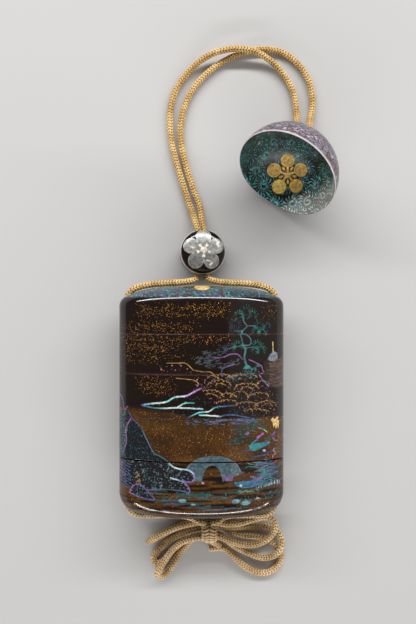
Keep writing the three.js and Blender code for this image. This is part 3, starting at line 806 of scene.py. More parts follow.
    def scroll(self, x, y, reach, turn, leaf_length, colours, stem=(0.12, 0.085, 0.07)):
        """A vine wound into a spiral, with curved leaves down both of its sides."""
        way = 1 if self.random.random() < 0.5 else -1
        angles = np.arange(0, SCROLL_TURNS, 0.2)
        radii = reach * (1 - 0.62 * angles / SCROLL_TURNS)
        points = np.stack([x + radii * np.cos(turn + way * angles),
                           y + radii * np.sin(turn + way * angles)], axis=1)
        self.stroke(points, 0.17, stem)
        line = even_steps(np.concatenate([points, np.zeros((len(points), 1))], axis=1), LEAF_GAP)[:, :2]
        outer_lap = round(len(line) * 0.8)
        for number, (here, ahead) in enumerate(zip(line[:-1], line[1:])):
            heading = math.atan2(*(ahead - here)[::-1])
            for side in (1, -1) if number < outer_lap else (way,):
                colour = colours[self.random.integers(len(colours))]
                colour = darkened(colour, self.random.uniform(0, 0.4))
                start = here + 0.25 * np.array([math.cos(heading + side * 1.4),
                                                math.sin(heading + side * 1.4)])
                length = leaf_length * self.random.uniform(0.85, 1.15) * (0.62 if side == way else 1)
                self.leaf(*start, heading + side * 1.15, length, 0.4, -side * 0.9, colour)

    def blossom(self, x, y, distance, petal, colour, edge):
        """Five round petals about a small disc, with stamens between them."""
        heart, tip = np.array([x, y]), distance * 0.5
        for way, gap in zip(five_ways(90), five_ways(126)):
            middle = heart + distance * way
            self.stroke([middle, heart + 0.6 * way], petal * 0.34, edge, gold=True)
            self.disc(*middle, petal, edge, gold=True)
            self.disc(*middle, petal * 0.9, colour, gold=True)
            knob = [heart + gap * tip * 0.7, heart + gap * tip * 1.3]
            self.stroke(knob, petal * 0.36, edge, gold=True, taper=True)
            self.stroke([heart, heart + tip * gap], 0.16, edge, gold=True)
        self.disc(x, y, petal * 0.36, edge, gold=True)

    def onto(self, piece, across, up, chosen):
        """The painting's values at the chosen points of a piece, whose places on the sheet are
        across and up. Other points are bare lacquer."""
        rows, columns = self.dust.shape
        u = np.clip((across - self.low[0]) / self.step, 0, columns - 1.001)
        v = np.clip((up - self.low[1]) / self.step, 0, rows - 1.001)
        i, j = u.astype(int), v.astype(int)
        du, dv = (u - i)[:, None], (v - j)[:, None]
        every = np.concatenate([self.inlay, self.ground, self.dust[..., None]], axis=2)
        low = every[j, i] * (1 - du) + every[j, i + 1] * du
        high = every[j + 1, i] * (1 - du) + every[j + 1, i + 1] * du
        taken = low * (1 - dv) + high * dv
        bare = np.array([0, 0, 0, 0, 0, *BLACK_LACQUER, 0])
        return np.where(chosen[:, None], taken, bare)


def keep_painting(piece, values):
    cover = values[:, 3:4]
    colour = np.where(cover > 0.001, values[:, :3] / np.maximum(cover, 0.001), 0)
    give_colours(piece, "inlay", np.concatenate([colour, cover], axis=1))
    give_colours(piece, "ground", np.concatenate([values[:, 5:8], np.ones_like(cover)], axis=1))
    give_values(piece, "gilt", values[:, 4])
    give_values(piece, "dust", values[:, 8])


# ---- the picture round the walls: mist over a shore with a pine, rocks, a bridge and boats ----
def paint_mist(sheet):
    """Gold dust in drifting bands. A band is (left, right, bottom, top, how dense)."""
    bands = [(-27, 14, 30.6, 36.6, 0.85), (-33, 1.5, 25.6, 30, 0.85), (-33, 13.5, 21.4, 25.6, 0.9),
             (-32, -4, 18.4, 23.4, 0.75), (-32, -11, 14.4, 19, 0.75), (-16, -0.5, 15.2, 19, 0.4),
             (19, 31, 30, 36.8, 0.7), (-26, -6, 3.6, 10.8, 0.75), (-20, -13, 5, 9.6, 0.5),
             (-29, -24, 30, 34, 0.25), (-12, 8, 28.6, 31.6, 0.18), (-36, -28, 8, 30, 0.3),
             (27, 36, 14, 34, 0.16)]
    for left, right, bottom, top, dense in bands:
        ragged = 0.35 + lattice_noise(sheet.x, sheet.y, 3.4, 1.1, 3) * 1.3
        inside = soft_step(sheet.x, left, left + 7) * soft_step(-sheet.x, -right, -right + 7)
        inside *= soft_step(sheet.y, bottom - 0.6, bottom + 2) * soft_step(-sheet.y, -top - 0.6, -top + 2)
        sheet.dust = np.maximum(sheet.dust, inside * dense * 0.6 * np.clip(ragged, 0, 1.25))


def paint_pine(sheet):
    """A tall old pine with a looped trunk, its crowns made of tufts of needles."""
    bark = [blended(TEAL, SLATE, share) for share in (0.35, 0.8, 0.6)]
    sheet.curves(([(16.3, 13.6), (15.3, 16.8), (15.6, 20.2), (14.3, 21.2)], 0.7, bark),
                 ([(14.3, 21.3), (17.4, 21.6), (17.6, 23.4), (16, 25), (14, 25.3), (14.4, 23.2),
                   (15, 20.8)], 0.36, bark), ([(14, 25.2), (15, 26.8), (16.2, 28), (15, 29.8),
                                               (14.8, 32)], 0.5, bark))
    for points in ([(16.2, 28), (17.5, 28.2), (19.2, 28)], [(15.6, 20.2), (17.5, 20.6), (19.6, 20.6)],
                   [(14.4, 21.2), (12, 20.8), (8, 19.7)], [(14.8, 26.5), (13, 26.3), (11.6, 26.4)]):
        sheet.curve(points, 0.28, bark)
    sheet.patch([(15.6, 14.4), (14.6, 13), (18.2, 13), (16.9, 14.4)], bark[0])
    green = [TEAL, SEA_GREEN, DEEP_TEAL, TEAL]
    shade = [SLATE, DEEP_TEAL, blended(BLUE, SLATE, 0.6)]
    crowns = [(15.9, 33.2, 2.9, green), (13.5, 32, 2.4, green), (18.2, 32.2, 2.5, green),
              (12, 29.2, 2.4, shade), (11.8, 26.6, 2.4, shade), (20.9, 28.2, 2.5, green),
              (22, 26.2, 2.3, green), (19.6, 26.9, 2, green), (20.2, 21.6, 2.6, green),
              (21.6, 20, 2.3, green), (19.4, 19.8, 2, green), (13, 21.6, 2.2, green),
              (10, 20.6, 2.4, shade), (7.4, 19.9, 2.2, shade), (24.2, 28.5, 1.6, shade)]
    for x, y, reach, colours in crowns:
        sheet.fan(x, y - 0.4, reach, -35, 215, 11, colours, 0.23)


def paint_far_shore(sheet):
    """Grey foliage, lilac cliffs, a thatched hut with its pole, and a furrowed field."""
    grey = [(0.06, 0.075, 0.085), (0.04, 0.05, 0.06), (0.075, 0.085, 0.1)]
    for x, y, w, h, count in ((3.5, 18.6, 7, 1.5, 26), (1.8, 16.2, 9, 2.4, 46), (4.5, 14.4, 7, 1.6, 26),
                              (11, 15.4, 5, 2, 18)):
        for _ in range(count):
            px, py = sheet.random.uniform((x - w / 2, y - h / 2), (x + w / 2, y + h / 2))
            sheet.leaf(px, py, sheet.random.uniform(-0.2, 0.7), 1.5, 0.27, 0.8,
                       grey[sheet.random.integers(3)])
    sheet.curves(([(4.8, 17), (8, 17.3), (10.4, 18.3), (13, 18.1), (14.6, 16.4)], 0.42,
                  [darkened(LILAC, 0.4), LILAC, darkened(LILAC, 0.5)]),
                 ([(16.9, 16.3), (19.4, 15.2), (21.8, 13.8), (22.3, 12.2), (23, 11.5), (21.2, 11.3)], 0.3,
                  [LILAC, LILAC, PINK]), ([(20.9, 10.7), (22.4, 8.9), (24.6, 6.6)], 0.44,
                                          [LILAC, BLUE, LILAC]),
                 ([(7.2, 10.6), (7.4, 13), (9, 13.9), (11.6, 14.7)], 0.36, [BLUE, SLATE, LILAC]))
    field = [(22.6, 15.6), (31, 16.2), (35, 15), (35, 6), (25, 6.6), (22, 11), (23.2, 12)]
    sheet.clear(field, (0.02, 0.014, 0.01))
    for number in range(30):
        y = 6.2 + 9.6 * number / 29 + sheet.random.uniform(-0.1, 0.1)
        left = 23 + sheet.random.uniform(0, 3) + abs(y - 11) * 0.3
        colour = ((0.17, 0.09, 0.035), (0.09, 0.08, 0.14), (0.2, 0.11, 0.05),
                  (0.14, 0.09, 0.07))[number % 4]
        sheet.curve([(left, y - 0.3), (left + 3, y + 0.15),
                     (left + 6 + sheet.random.uniform(0, 2), y + 0.9)], 0.26, [darkened(colour, 0.25)])
    thatch = [(24, 16.2), (25, 17.6), (26.3, 18.9), (27, 19.1), (28.6, 18.4), (29, 16.8), (27.8, 15.6),
              (25.6, 15.5)]
    sheet.patch(thatch, (0.2, 0.23, 0.27))
    for share in np.linspace(0, 1, 8):
        sheet.stroke([(26.6, 18.9), (24.3 + 4.6 * share, 15.9 + 0.3 * math.sin(share * 9))], 0.14,
                     (0.36, 0.4, 0.46) if round(share * 7) % 2 else (0.1, 0.12, 0.15))
    sheet.stroke([(26.6, 19.2), (26.5, 22.3)], 0.4, PALE_GOLD, gold=True)
    hill = [(8, 10.4), (12, 11.6), (17, 13.2), (21, 12.4), (20.4, 9.8), (14, 9.4), (9, 9)]
    sheet.dots(hill, 220, 0.17, [TEAL, SEA_GREEN, DEEP_TEAL, LILAC, SLATE])
    for x, y, reach in ((18.9, 12.6, 1.1), (17, 11.4, 1.3), (20.2, 13.6, 1)):
        sheet.fan(x, y, reach, 0, 180, 8, [SEA_GREEN, TEAL], 0.2)


def paint_clouds(sheet):
    """Scalloped banks of cloud drawn in gold line, over ground strewn with coloured specks."""
    ground = [(-3, 10.6), (4, 11.4), (16, 10.8), (20, 9.8), (24, 6), (29, 3), (29, -5), (16, -3.6),
              (6, 0), (0, 3), (-3, 5)]
    sheet.dots(ground, 1500, 0.13, [PINK, LILAC, GOLD, RUST, (0.3, 0.12, 0.05), TEAL])
    sheet.dots([(-15, 14.6), (-6, 14.8), (-2, 12), (-4, 11.6), (-14, 12.4)], 40, 0.15,
               [PINK, LILAC, GOLD])
    for x, y in ((-10.2, 14.3), (-7, 14.2), (-9, 12.7), (-1.4, 9.4), (-14, 12.8), (1.4, 9.2)):
        sheet.disc(x, y, 0.26, (0.6, 0.2, 0.28))
    line = darkened(GOLD, 0.35)
    sheet.curve([(-12, 15.1), (-8.6, 15.2), (-5.4, 15.1), (-3.6, 13.6), (-2.6, 12.6)], 0.26,
                [line], gold=True)
    sheet.curve([(-8.8, 9.9), (-5.4, 9.6), (-2.2, 9.1), (-1, 8.2), (-1.3, 7)], 0.26, [line], gold=True)
    sheet.curve([(-2.6, 12.7), (0.4, 12.2), (3.4, 12), (5, 10.6), (6.4, 9.8)], 0.24, [line], gold=True)
    # Each bank is the middle of its crown, the crown's half width and height, and how many scallops.
    banks = [(6.5, 9.6, 4.5, 1.3, 9), (15, 9.6, 5, 1.2, 9), (6.2, 6.8, 4.2, 2, 8), (6.8, 7, 1.8, 0.9, 5),
             (16, 5.6, 4.4, 2, 9), (16.2, 5.6, 2, 1, 5), (22.5, 6.6, 2.4, 2, 6), (3, 3.4, 4.6, 1.9, 9),
             (3.2, 3.3, 2.4, 1, 6), (9.4, 3, 2.8, 1.3, 6), (13.4, 3.4, 3, 1.4, 6), (20.6, 2.6, 4, 1.6, 8),
             (9, 0.8, 3.4, 1.2, 7), (16, -0.4, 4.4, 1.4, 9), (23.6, -0.6, 4.4, 1.8, 9),
             (24, -0.7, 2.2, 0.9, 5), (19, -2.8, 6, 1.2, 11)]
    for x, y, wide, tall, count in banks:
        angles = np.linspace(0.06, math.pi - 0.06, count + 1)
        joints = np.stack([x - wide * np.cos(angles), y + tall * np.sin(angles)], axis=1)
        joints += sheet.random.uniform(-0.15, 0.15, joints.shape)
        for start, end in zip(joints[:-1], joints[1:]):
            middle, half = (start + end) / 2, (end - start) / 2
            out = np.array([-half[1], half[0]])
            turns = np.linspace(0, math.pi, 7)
            arc = middle - half * np.cos(turns)[:, None] + out * 0.75 * np.sin(turns)[:, None]
            colour = blended(GOLD, RUST, sheet.random.uniform(0.15, 0.7))
            sheet.stroke(arc, 0.17, colour, gold=True)


def paint_slope(sheet):
    """Bright streaks of shell down a snowy slope, with dark water and dots of shell between."""
    slope = [(-21.5, 0.2), (-12, 1.6), (-5, 3.6), (0, 6), (2.6, 3), (5, 0), (12, 0.2), (19.5, -4.8),
             (8, -4.6), (-4.4, -3.8), (-12, -1.4)]
    sheet.clear(slope)
    sheet.dots(slope, 420, 0.14, [TEAL, SEA_GREEN, DEEP_TEAL, BLUE])
    bright = [BLUE, blended(TEAL, WHITE_SHELL, 0.6), WHITE_SHELL, (0.2, 0.75, 0.68), WHITE_SHELL,
              (0.62, 0.36, 0.74), LILAC]
    sheet.curves(([(-21.5, 0.2), (-17, 0.9), (-12.2, 1.6), (-9.3, 3.2), (-5.1, 3.8), (-2.4, 5.2),
                   (0, 6.4)], 0.56, bright), ([(-21.3, 0), (-16, -0.7), (-9, -0.5), (-2.4, -0.6),
                                               (0.6, -0.8)], 0.48,
                                              [BLUE, TEAL, WHITE_SHELL, WHITE_SHELL, (0.3, 0.62, 0.7)]),
                 ([(-8.2, -0.2), (-5.6, 1.2), (-2.4, 1.3)], 0.46, [WHITE_SHELL, (0.2, 0.72, 0.64), TEAL]),
                 ([(-4.4, -3.7), (-0.5, -2), (2.6, -1.7), (4.9, -0.3), (8, 0.1), (12.4, 0.3)], 0.42,
                  [BLUE, GLOWING_TEAL, WHITE_SHELL, TEAL, BLUE, SLATE]),
                 ([(-0.6, -2.9), (3, -3.1), (6.9, -3.4)], 0.46, [GLOWING_TEAL, WHITE_SHELL, WHITE_SHELL]),
                 ([(6.4, -3.4), (10.6, -2.9), (14.6, -3.6), (19.6, -4.9)], 0.36,
                  [SLATE, BLUE, SLATE, BLUE]), ([(3, -5.4), (7, -4.7), (12, -4.8), (19.4, -5)], 0.34,
                                                [LILAC, SLATE, BLUE, SLATE]))
    for _ in range(60):
        x, y = sheet.random.uniform((-6, -6.4), (20, -4.4))
        sheet.leaf(x, y, 0.05, sheet.random.uniform(1, 2.6), 0.26, 0,
                   (DEEP_TEAL, SLATE, BLUE)[sheet.random.integers(3)])


def paint_water(sheet):
    """Water sprinkled with gold, deep brown below the slope and streaked along the bottom."""
    x, y = sheet.x, sheet.y
    shade = 0.55 + 0.75 * (lattice_noise(x, y, 7, 4, 21) - 0.5)
    grain = lattice_noise(x, y, 0.3, 0.3, 5)
    slant = 0.05 * (x + 8)
    band = soft_step(-y, 1.0 + 1.2 * (x > 0) + slant, 3.6 + slant) * soft_step(y, -19.9, -19.2)
    streak = lattice_noise(x + 3 * lattice_noise(x, y, 8, 3, 31), y, 9, 0.75, 8)
    low = soft_step(-y, 19.6, 20.2)
    low_tone = soft_step(streak, 0.3, 0.52) * (0.4 + 0.6 * lattice_noise(x, y, 6, 3, 12))
    amount = np.clip(band * shade + low * low_tone, 0, 1) * (0.3 + 1.1 * grain)
    red = lattice_noise(x, y, 5, 5, 44)[..., None]
    gold_brown = np.array(BROWN_GOLD) * (1 - 0.5 * red) + np.array(RUST) * 0.5 * red
    amount = np.clip(amount, 0, 1.2)[..., None]
    sheet.ground = sheet.ground * (1 - np.minimum(amount, 1)) + gold_brown * amount
    sheet.dust = np.maximum(sheet.dust, np.clip(band * 0.3 * shade + low * low_tone * 0.16, 0, 1))


def paint_rocks(sheet):
    """Dark mounds of rock on the left, dotted with shell and edged in lilac."""
    mound = [(-36, -3), (-27, -2.4), (-25.6, -4.6), (-22, -7.4), (-20.3, -10.3), (-18.4, -13.8),
             (-16.6, -16.6), (-14.4, -17.6), (-11.7, -19.2), (-36, -20)]
    low = [(-36, -19.2), (-11.4, -19.4), (-10, -20.6), (-8, -21.6), (-4.6, -22), (-2.6, -23.6),
           (-2.4, -26), (-6, -26.4), (-4.4, -28), (-3.9, -29.6), (-12, -29), (-20, -29.4), (-36, -29)]
    sheet.clear(mound, ROCK_GROUND)
    sheet.clear(low, ROCK_GROUND)
    sheet.dots(mound, 1050, 0.16, [DEEP_TEAL, TEAL, BLUE, SLATE, DEEP_TEAL, (0.04, 0.14, 0.24)])
    sheet.dots(low, 760, 0.2, [SLATE, (0.24, 0.29, 0.3), (0.16, 0.2, 0.2), DEEP_TEAL,
                               (0.26, 0.2, 0.23), TEAL])
    edge = blended(LILAC, BLUE, 0.5)
    sheet.curves((mound[1:9], 0.25, [BLUE, edge, SLATE, (0.1, 0.3, 0.44), edge, TEAL, SLATE]),
                 ([(-11.6, -19.7), (-10, -20.9), (-8, -21.7), (-4.6, -22.1), (-2.7, -23.4), (-2.3, -25.2),
                   (-3.2, -26.2), (-6.6, -26)], 0.5, [TEAL, WHITE_SHELL, (0.4, 0.7, 0.74),
                                                      (0.5, 0.42, 0.7), edge, edge]),
                 ([(-10.8, -25), (-8.2, -25.6), (-6, -26.4), (-4.6, -27.8), (-3.9, -29.4)], 0.42,
                  [WHITE_SHELL, (0.3, 0.5, 0.6), LILAC, edge]),
                 ([(-20, -29.7), (-14, -29), (-8, -29.3), (-3.9, -29.9)], 0.36, [edge, SLATE, BLUE]),
                 ([(-34, 4), (-30.5, 2), (-29.4, -2), (-27.4, -0.6)], 0.4, [LILAC, BLUE, LILAC]),
                 ([(-26, -4.8), (-28.4, -9), (-28, -13), (-30.4, -18)], 0.42, [LILAC, PINK, LILAC, BLUE]))
    sheet.dots([(-36, -1), (-29, -2), (-27.6, -9), (-29.6, -17), (-36, -18)], 420, 0.17,
               [TEAL, SEA_GREEN, TEAL, LILAC])
    for number in range(9):
        y = -20.6 - number * 1.1
        sheet.curve([(-34, y + 1.2), (-30, y + 0.6), (-26, y - 0.9)], 0.22, [darkened(LILAC, 0.35), BLUE])
    knoll = [(-26.6, -31.2), (-25, -28.8), (-22.6, -27.8), (-20, -29.2), (-18.2, -31), (-16.4, -32.8),
             (-22, -32.4)]
    sheet.clear(knoll, ROCK_GROUND)
    sheet.dots(knoll, 160, 0.18, [SEA_GREEN, TEAL, SLATE, LILAC])
    sheet.curve(knoll + knoll[:1], 0.4, [PINK, LILAC, edge, SLATE, BLUE, edge, LILAC])
    for x, y in ((-23.4, -24), (-22.6, -25), (-23.6, -25.6), (-22.4, -26.4), (-23, -27)):
        sheet.stroke([(x - 0.5, y - 0.2), (x, y + 0.4), (x + 0.5, y - 0.2)], 0.24, darkened(GOLD, 0.3),
                     gold=True)


def paint_bridge(sheet):
    """A stone footbridge with one arch, its joints fanning from the middle."""
    stone, joint = (0.085, 0.14, 0.165), (0.03, 0.05, 0.06)
    outer = [(4.2 + 10 * math.cos(a), -24.4 + 7.1 * math.sin(a))
             for a in np.linspace(0.25, math.pi - 0.25, 30)]
    inner = [(3.9 + 3.6 * math.cos(a), -26.9 + 6.4 * math.sin(a))
             for a in np.linspace(0.1, math.pi - 0.1, 24)]
    left_foot, right_foot = [(-5.2, -23.4), (-1.8, -26)], [(10.4, -24.6), (15.6, -23.2)]
    sheet.patch(outer + left_foot + inner[::-1] + right_foot, stone)
    for angle in np.linspace(0.4, math.pi - 0.4, 12):
        start = (4.1 + 4.6 * math.cos(angle), -25.6 + 5.6 * math.sin(angle))
        end = (4.2 + 9.6 * math.cos(angle), -24.4 + 6.8 * math.sin(angle))
        sheet.stroke([start, end], 0.13, joint)
    sheet.curves((outer[::3], 0.3, [(0.16, 0.28, 0.3), SLATE, (0.18, 0.26, 0.34)]),
                 ([(4.2 + 7.4 * math.cos(a), -24.8 + 5.9 * math.sin(a))
                   for a in np.linspace(0.4, 2.75, 9)], 0.16, [joint]))
    sheet.dots([(10.4, -21), (14, -22), (15.6, -23.2), (13, -24.2), (10, -23.6)], 70, 0.2,
               [(0.4, 0.46, 0.46), SLATE, (0.2, 0.3, 0.34)])
    sheet.patch([(7.2, -23.8), (11.4, -24.2), (11, -26), (8.4, -26.1)], (0.17, 0.12, 0.25))
    sheet.disc(0.6, -26.6, 0.4, (0.6, 0.42, 0.46))


def paint_right_shore(sheet):
    """Pines, boats and rippled water on the lower right, with a gilt leaf near the edge."""
    dark_green = [DEEP_TEAL, TEAL, darkened(TEAL, 0.4)]
    for x, y, reach in ((12.4, -8.2, 2), (14.8, -7.4, 2.2), (17.4, -8, 2.2), (20, -7.2, 2),
                        (13.6, -10.4, 2), (16, -9.9, 1.8), (22.4, -6.6, 1.6), (10.8, -12.4, 2),
                        (13.6, -12.2, 1.8), (18.8, -5.8, 1.6), (24.4, -11.6, 1.6), (28, -16, 1.6)):
        sheet.fan(x, y - 0.5, reach, -8, 188, 8, dark_green, 0.22)
        sheet.stroke([(x - reach * 0.8, y - 0.8), (x + reach * 0.8, y - 0.6)], 0.2, DEEP_TEAL)
    sheet.patch([(15.2, -9.8), (16.6, -9), (17.2, -9.6), (16.2, -10.2)], (0.24, 0.14, 0.28))
    sheet.curves(([(20.4, -7.8), (22.4, -8.4), (24, -9.6)], 0.34, [PINK, SEA_GREEN, (0.3, 0.55, 0.3)]),
                 ([(20, -11.2), (22.6, -9.8), (21, -11), (19.6, -12.2), (18, -13.4), (17.4, -15)], 0.5,
                  [LILAC, PINK, LILAC, BLUE, TEAL, SEA_GREEN]))
    sheet.patch([(17, -13.8), (19.6, -13.2), (25.4, -12.8), (24.6, -14), (21.4, -15), (18, -15.8)],
                (0.05, 0.24, 0.3))
    sheet.curves(
        ([(17, -14), (18.6, -15.6), (21, -15), (25, -13.2)], 0.42, [TEAL, SEA_GREEN, (0.1, 0.2, 0.4)]),
        ([(26, -11), (27.6, -9.6), (26.8, -12.4), (29, -13)], 0.36, [LILAC, BLUE, LILAC]))
    for x, y, wide in ((15.6, -15.4, 5), (24, -16.6, 6), (20, -17.6, 9)):
        sheet.curve([(x - wide / 2, y), (x, y - 0.2), (x + wide / 2, y + 0.2)], 0.34,
                    [(0.02, 0.03, 0.05), BLUE])
    sheet.stroke([(22.2, -15.9), (23.4, -16)], 0.8, (0.5, 0.4, 0.62), taper=True)
    for x, y in ((26.8, -16), (27.4, -17.4), (26.4, -18.2)):
        sheet.stroke([(x, y - 0.8), (x + 0.2, y + 0.6)], 0.44, (0.56, 0.26, 0.36), taper=True)
    leaf = [(25.6, -5.2), (26.6, -4.6), (27.4, -5.3), (28.4, -4.4), (29.4, -4.4), (28.9, -5.4),
            (29.8, -6.2), (29.2, -8.9), (28.6, -7.4), (28, -9), (27.4, -7.4), (26.8, -8.4), (26.5, -6.6)]
    sheet.patch(leaf, PALE_GOLD, gold=True)
    for number in range(34):
        y = -19.9 - 8.4 * number / 33
        left = 15.5 + sheet.random.uniform(0, 7) + max(0, (-22 - y)) * 0.2
        waves = [(left + step * 1.5, y + 0.3 * math.sin(step * 1.9 + number)) for step in
                 range(4 + sheet.random.integers(5))]
        colours = ([LILAC, BLUE], [TEAL, DEEP_TEAL], [SEA_GREEN, TEAL], [SLATE, LILAC],
                   [TEAL, BLUE])[number % 5]
        sheet.curve(waves, 0.3, [darkened(colour, 0.2) for colour in colours])
    hull = [(11.6, -26.6), (15, -26.3), (19.6, -26), (21.8, -24.8), (21.2, -26.8), (19.6, -28.2),
            (14.4, -28.6), (12.4, -28)]
    sheet.patch(hull, (0.04, 0.16, 0.24))
    sheet.curve([(11.8, -26.8), (15, -26.7), (19.6, -26.2), (21.8, -24.9), (21, -27), (19.4, -28.2),
                 (14.4, -28.6)], 0.34, [TEAL, BLUE, LILAC, LILAC, BLUE, (0.1, 0.3, 0.42)])
    sheet.disc(14, -27.8, 0.5, (0.45, 0.55, 0.66))
    for x in np.arange(12.8, 20.4, 0.62):
        sheet.leaf(x, -30 + 0.2 * math.sin(x * 3), 0.5, 1, 0.36, 0.9,
                   SEA_GREEN if int(x * 9) % 2 else TEAL)
    for x in np.arange(19.4, 30, 0.72):
        tilt = sheet.random.uniform(-0.3, 0.5)
        colour = (WHITE_SHELL, (0.2, 0.66, 0.5), TEAL, (0.5, 0.4, 0.56))[sheet.random.integers(4)]
        sheet.leaf(x, -29.4 + (x - 19.4) * 0.12, 1.2 + tilt, 1.3, 0.34, 0.4, colour)


def paint_foreshore(sheet):
    """Long ripples and stones along the bottom."""
    for number in range(30):
        y = -29.6 - 7.2 * number / 29
        x = sheet.random.uniform(-30, 22)
        length = sheet.random.uniform(4, 13)
        colour = (DEEP_TEAL, BLACK_LACQUER, (0.04, 0.07, 0.09), (0.02, 0.03, 0.04),
                  (0.1, 0.09, 0.12))[number % 5]
        sheet.curve([(x, y), (x + length / 2, y + sheet.random.uniform(-0.3, 0.3)), (x + length, y)],
                    sheet.random.uniform(0.2, 0.5), [colour])
    sheet.dots([(-16, -30.4), (14, -29.2), (14, -31.6), (-14, -33)], 150, 0.16,
               [TEAL, SEA_GREEN, DEEP_TEAL])
    sheet.dots([(12, -32), (30, -30), (30, -33), (14, -34.2)], 130, 0.18, [TEAL, SEA_GREEN, BLUE])
    stones = [(-6.6, -32.9, 1.5, 0.7), (-2.8, -34.2, 0.9, 0.45), (12.2, -33.2, 1.6, 0.8),
              (15.8, -33.9, 1.8, 0.9), (20.2, -32.7, 0.9, 0.35)]
    for number, (x, y, wide, tall) in enumerate(stones):
        outline = [(x + wide * math.cos(a) * (1 + 0.15 * math.sin(3 * a + number)),
                    y + tall * math.sin(a)) for a in np.linspace(0, TAU, 15)[:-1]]
        sheet.patch(outline, (0.6, 0.36, 0.36) if number == 4 else (0.11, 0.27, 0.32))
        sheet.stroke([(x - wide * 0.5, y + tall * 0.3), (x + wide * 0.6, y + tall * 0.4)], 0.2,
                     (0.3, 0.46, 0.5))


def paint_back(sheet):
    """The hidden back, quieter: mist, a few ripples and pines."""
    for left in (36, -70):
        for number in range(26):
            x, y = left + sheet.random.uniform(0, 24), sheet.random.uniform(-34, -8)
            sheet.curve([(x, y), (x + 3, y + 0.4), (x + 6, y)], 0.3, [darkened(TEAL, 0.4), BLUE])
        for x, y in ((8, 14), (13, 16), (18, 13), (11, 20), (16, 22)):
            sheet.fan(left + x, y, 2.6, -10, 190, 13, [TEAL, SEA_GREEN, DEEP_TEAL])
        sheet.curve([(left + 13, 4), (left + 12, 10), (left + 14, 20)], 0.7, [TEAL, SLATE])
    back = soft_step(np.abs(sheet.x), 35, 39)
    bands = lattice_noise(sheet.x, sheet.y, 14, 2.2, 77) * lattice_noise(sheet.x, sheet.y, 2.4, 0.9, 78)
    sheet.dust = np.maximum(sheet.dust, back * soft_step(bands, 0.3, 0.55) * 0.6)


def paint_walls():
    sheet = Sheet((-72, -44), (72, 44))
    paint_water(sheet)
    paint_mist(sheet)
    paint_far_shore(sheet)
    paint_pine(sheet)
    paint_clouds(sheet)
    paint_slope(sheet)
    paint_bridge(sheet)
    paint_right_shore(sheet)
    paint_foreshore(sheet)
    paint_rocks(sheet)
    paint_back(sheet)
    for seam_y in SEAMS_Y[:3]:
        sheet.ground[np.abs(sheet.y - seam_y) < 0.3] = (0.05, 0.017, 0.012)
    return sheet


LEAF_COLOURS = [TEAL, SEA_GREEN, DEEP_TEAL, blended(TEAL, BLUE, 0.4), TEAL, (0.1, 0.42, 0.5)]


def paint_dome():
    """The top of the lid, seen from the end: scrolling vines round a gilt disc over a bar, on a ground
    painted grey as a painted reflection.
    """
    # The grey ground is a painted reflection of the bright room on the dome.
    sheet = Sheet((-31, -1), (31, 27), ground=(0.04, 0.038, 0.036))
    vine = LEAF_COLOURS + [BLUE, BLUE, (0.12, 0.3, 0.5), SLATE, SLATE, (0.1, 0.1, 0.12), (0.1, 0.1, 0.12)]
    for row, z in enumerate(np.arange(1.5, 27, 4.4)):
        for x in np.arange(-29 + 2.5 * (row % 2), 30, 5):
            turn = sheet.random.uniform(0, TAU)
            sheet.scroll(x + sheet.random.uniform(-0.5, 0.5), z, 2.3, turn, 1.7, vine)
    sheet.clear([(-7.2, 12.4), (7.8, 12.4), (7.2, 19.4), (-6.6, 19.4)], (0.008, 0.01, 0.016))
    sheet.stroke([(-7.2, 16.6), (7.8, 16.6)], 0.9, PALE_GOLD, gold=True)
    sheet.disc(0.3, 19.7, 2.8, PALE_GOLD, gold=True)
    return sheet


def paint_bowl_inside():
    """Scrolling vines round a gilt blossom. Painted light: the scrolls darken towards the top and
    brighten and pale towards the lower right, the ground there is painted grey as a reflection, and the
    two lower petals are painted brighter.
    """
    sheet = Sheet((-31, -31), (31, 31), step=0.1)
    # A paler shell for the painted highlight towards the lower right.
    highlight_shell = (0.85, 1, 0.97)
    # A grey for the painted reflection on the ground towards the lower right.
    reflection_grey = (0.3, 0.28, 0.27)
    for row, y in enumerate(np.arange(-29.5, 30, 6.3)):
        for x in np.arange(-30 + 3.6 * (row % 2), 31, 7.2):
            x, spot = x + sheet.random.uniform(-0.7, 0.7), y + sheet.random.uniform(-0.7, 0.7)
            # Each scroll is painted darker towards the top and brighter towards the lower right: painted
            # shade and painted light.
            painted_light = 0.7 + 1.7 * float(soft_step(0.1 * x - spot, -6, 9))
            # Towards the lower right the shell is painted paler still: a painted highlight.
            painted_highlight = 0.9 * float(soft_step(0.4 * x - spot, 8, 16))
            colours = [blended(blended(BLACK_LACQUER, colour, painted_light), highlight_shell, painted_highlight)
                       for colour in LEAF_COLOURS]
            stem = (0.16 * painted_light, 0.11 * painted_light, 0.09 * painted_light)
            sheet.scroll(x, spot, 2.9, sheet.random.uniform(0, TAU), 1.8, colours, stem)
            if sheet.random.random() < 0.35:
                sheet.disc(x, spot, 0.42, (0.7, 0.26, 0.4))
    # The ground is painted grey towards the lower right: a painted reflection.
    painted_reflection = soft_step(0.4 * sheet.x - sheet.y, 9, 17)[..., None]
    sheet.ground = sheet.ground * (1 - painted_reflection) + np.array(reflection_grey) * painted_reflection
    middle, distance = np.array([0.6, 0.15]), 5.7
    for way in five_ways(90):
        sheet.disc(*(middle + distance * way), 3.05, BLACK_LACQUER)
    sheet.disc(*middle, 4.6, BLACK_LACQUER)
    sheet.blossom(*middle, distance, 2.8, (0.5, 0.33, 0.1), (0.74, 0.5, 0.16))
    # The two lower petals are painted brighter gold: a painted highlight where they face the light.
    for way, tone in zip(five_ways(234), ((1, 0.68, 0.2), (0.86, 0.56, 0.17))):
        sheet.disc(*(middle + distance * way), 2.6, tone, gold=True)
    return sheet


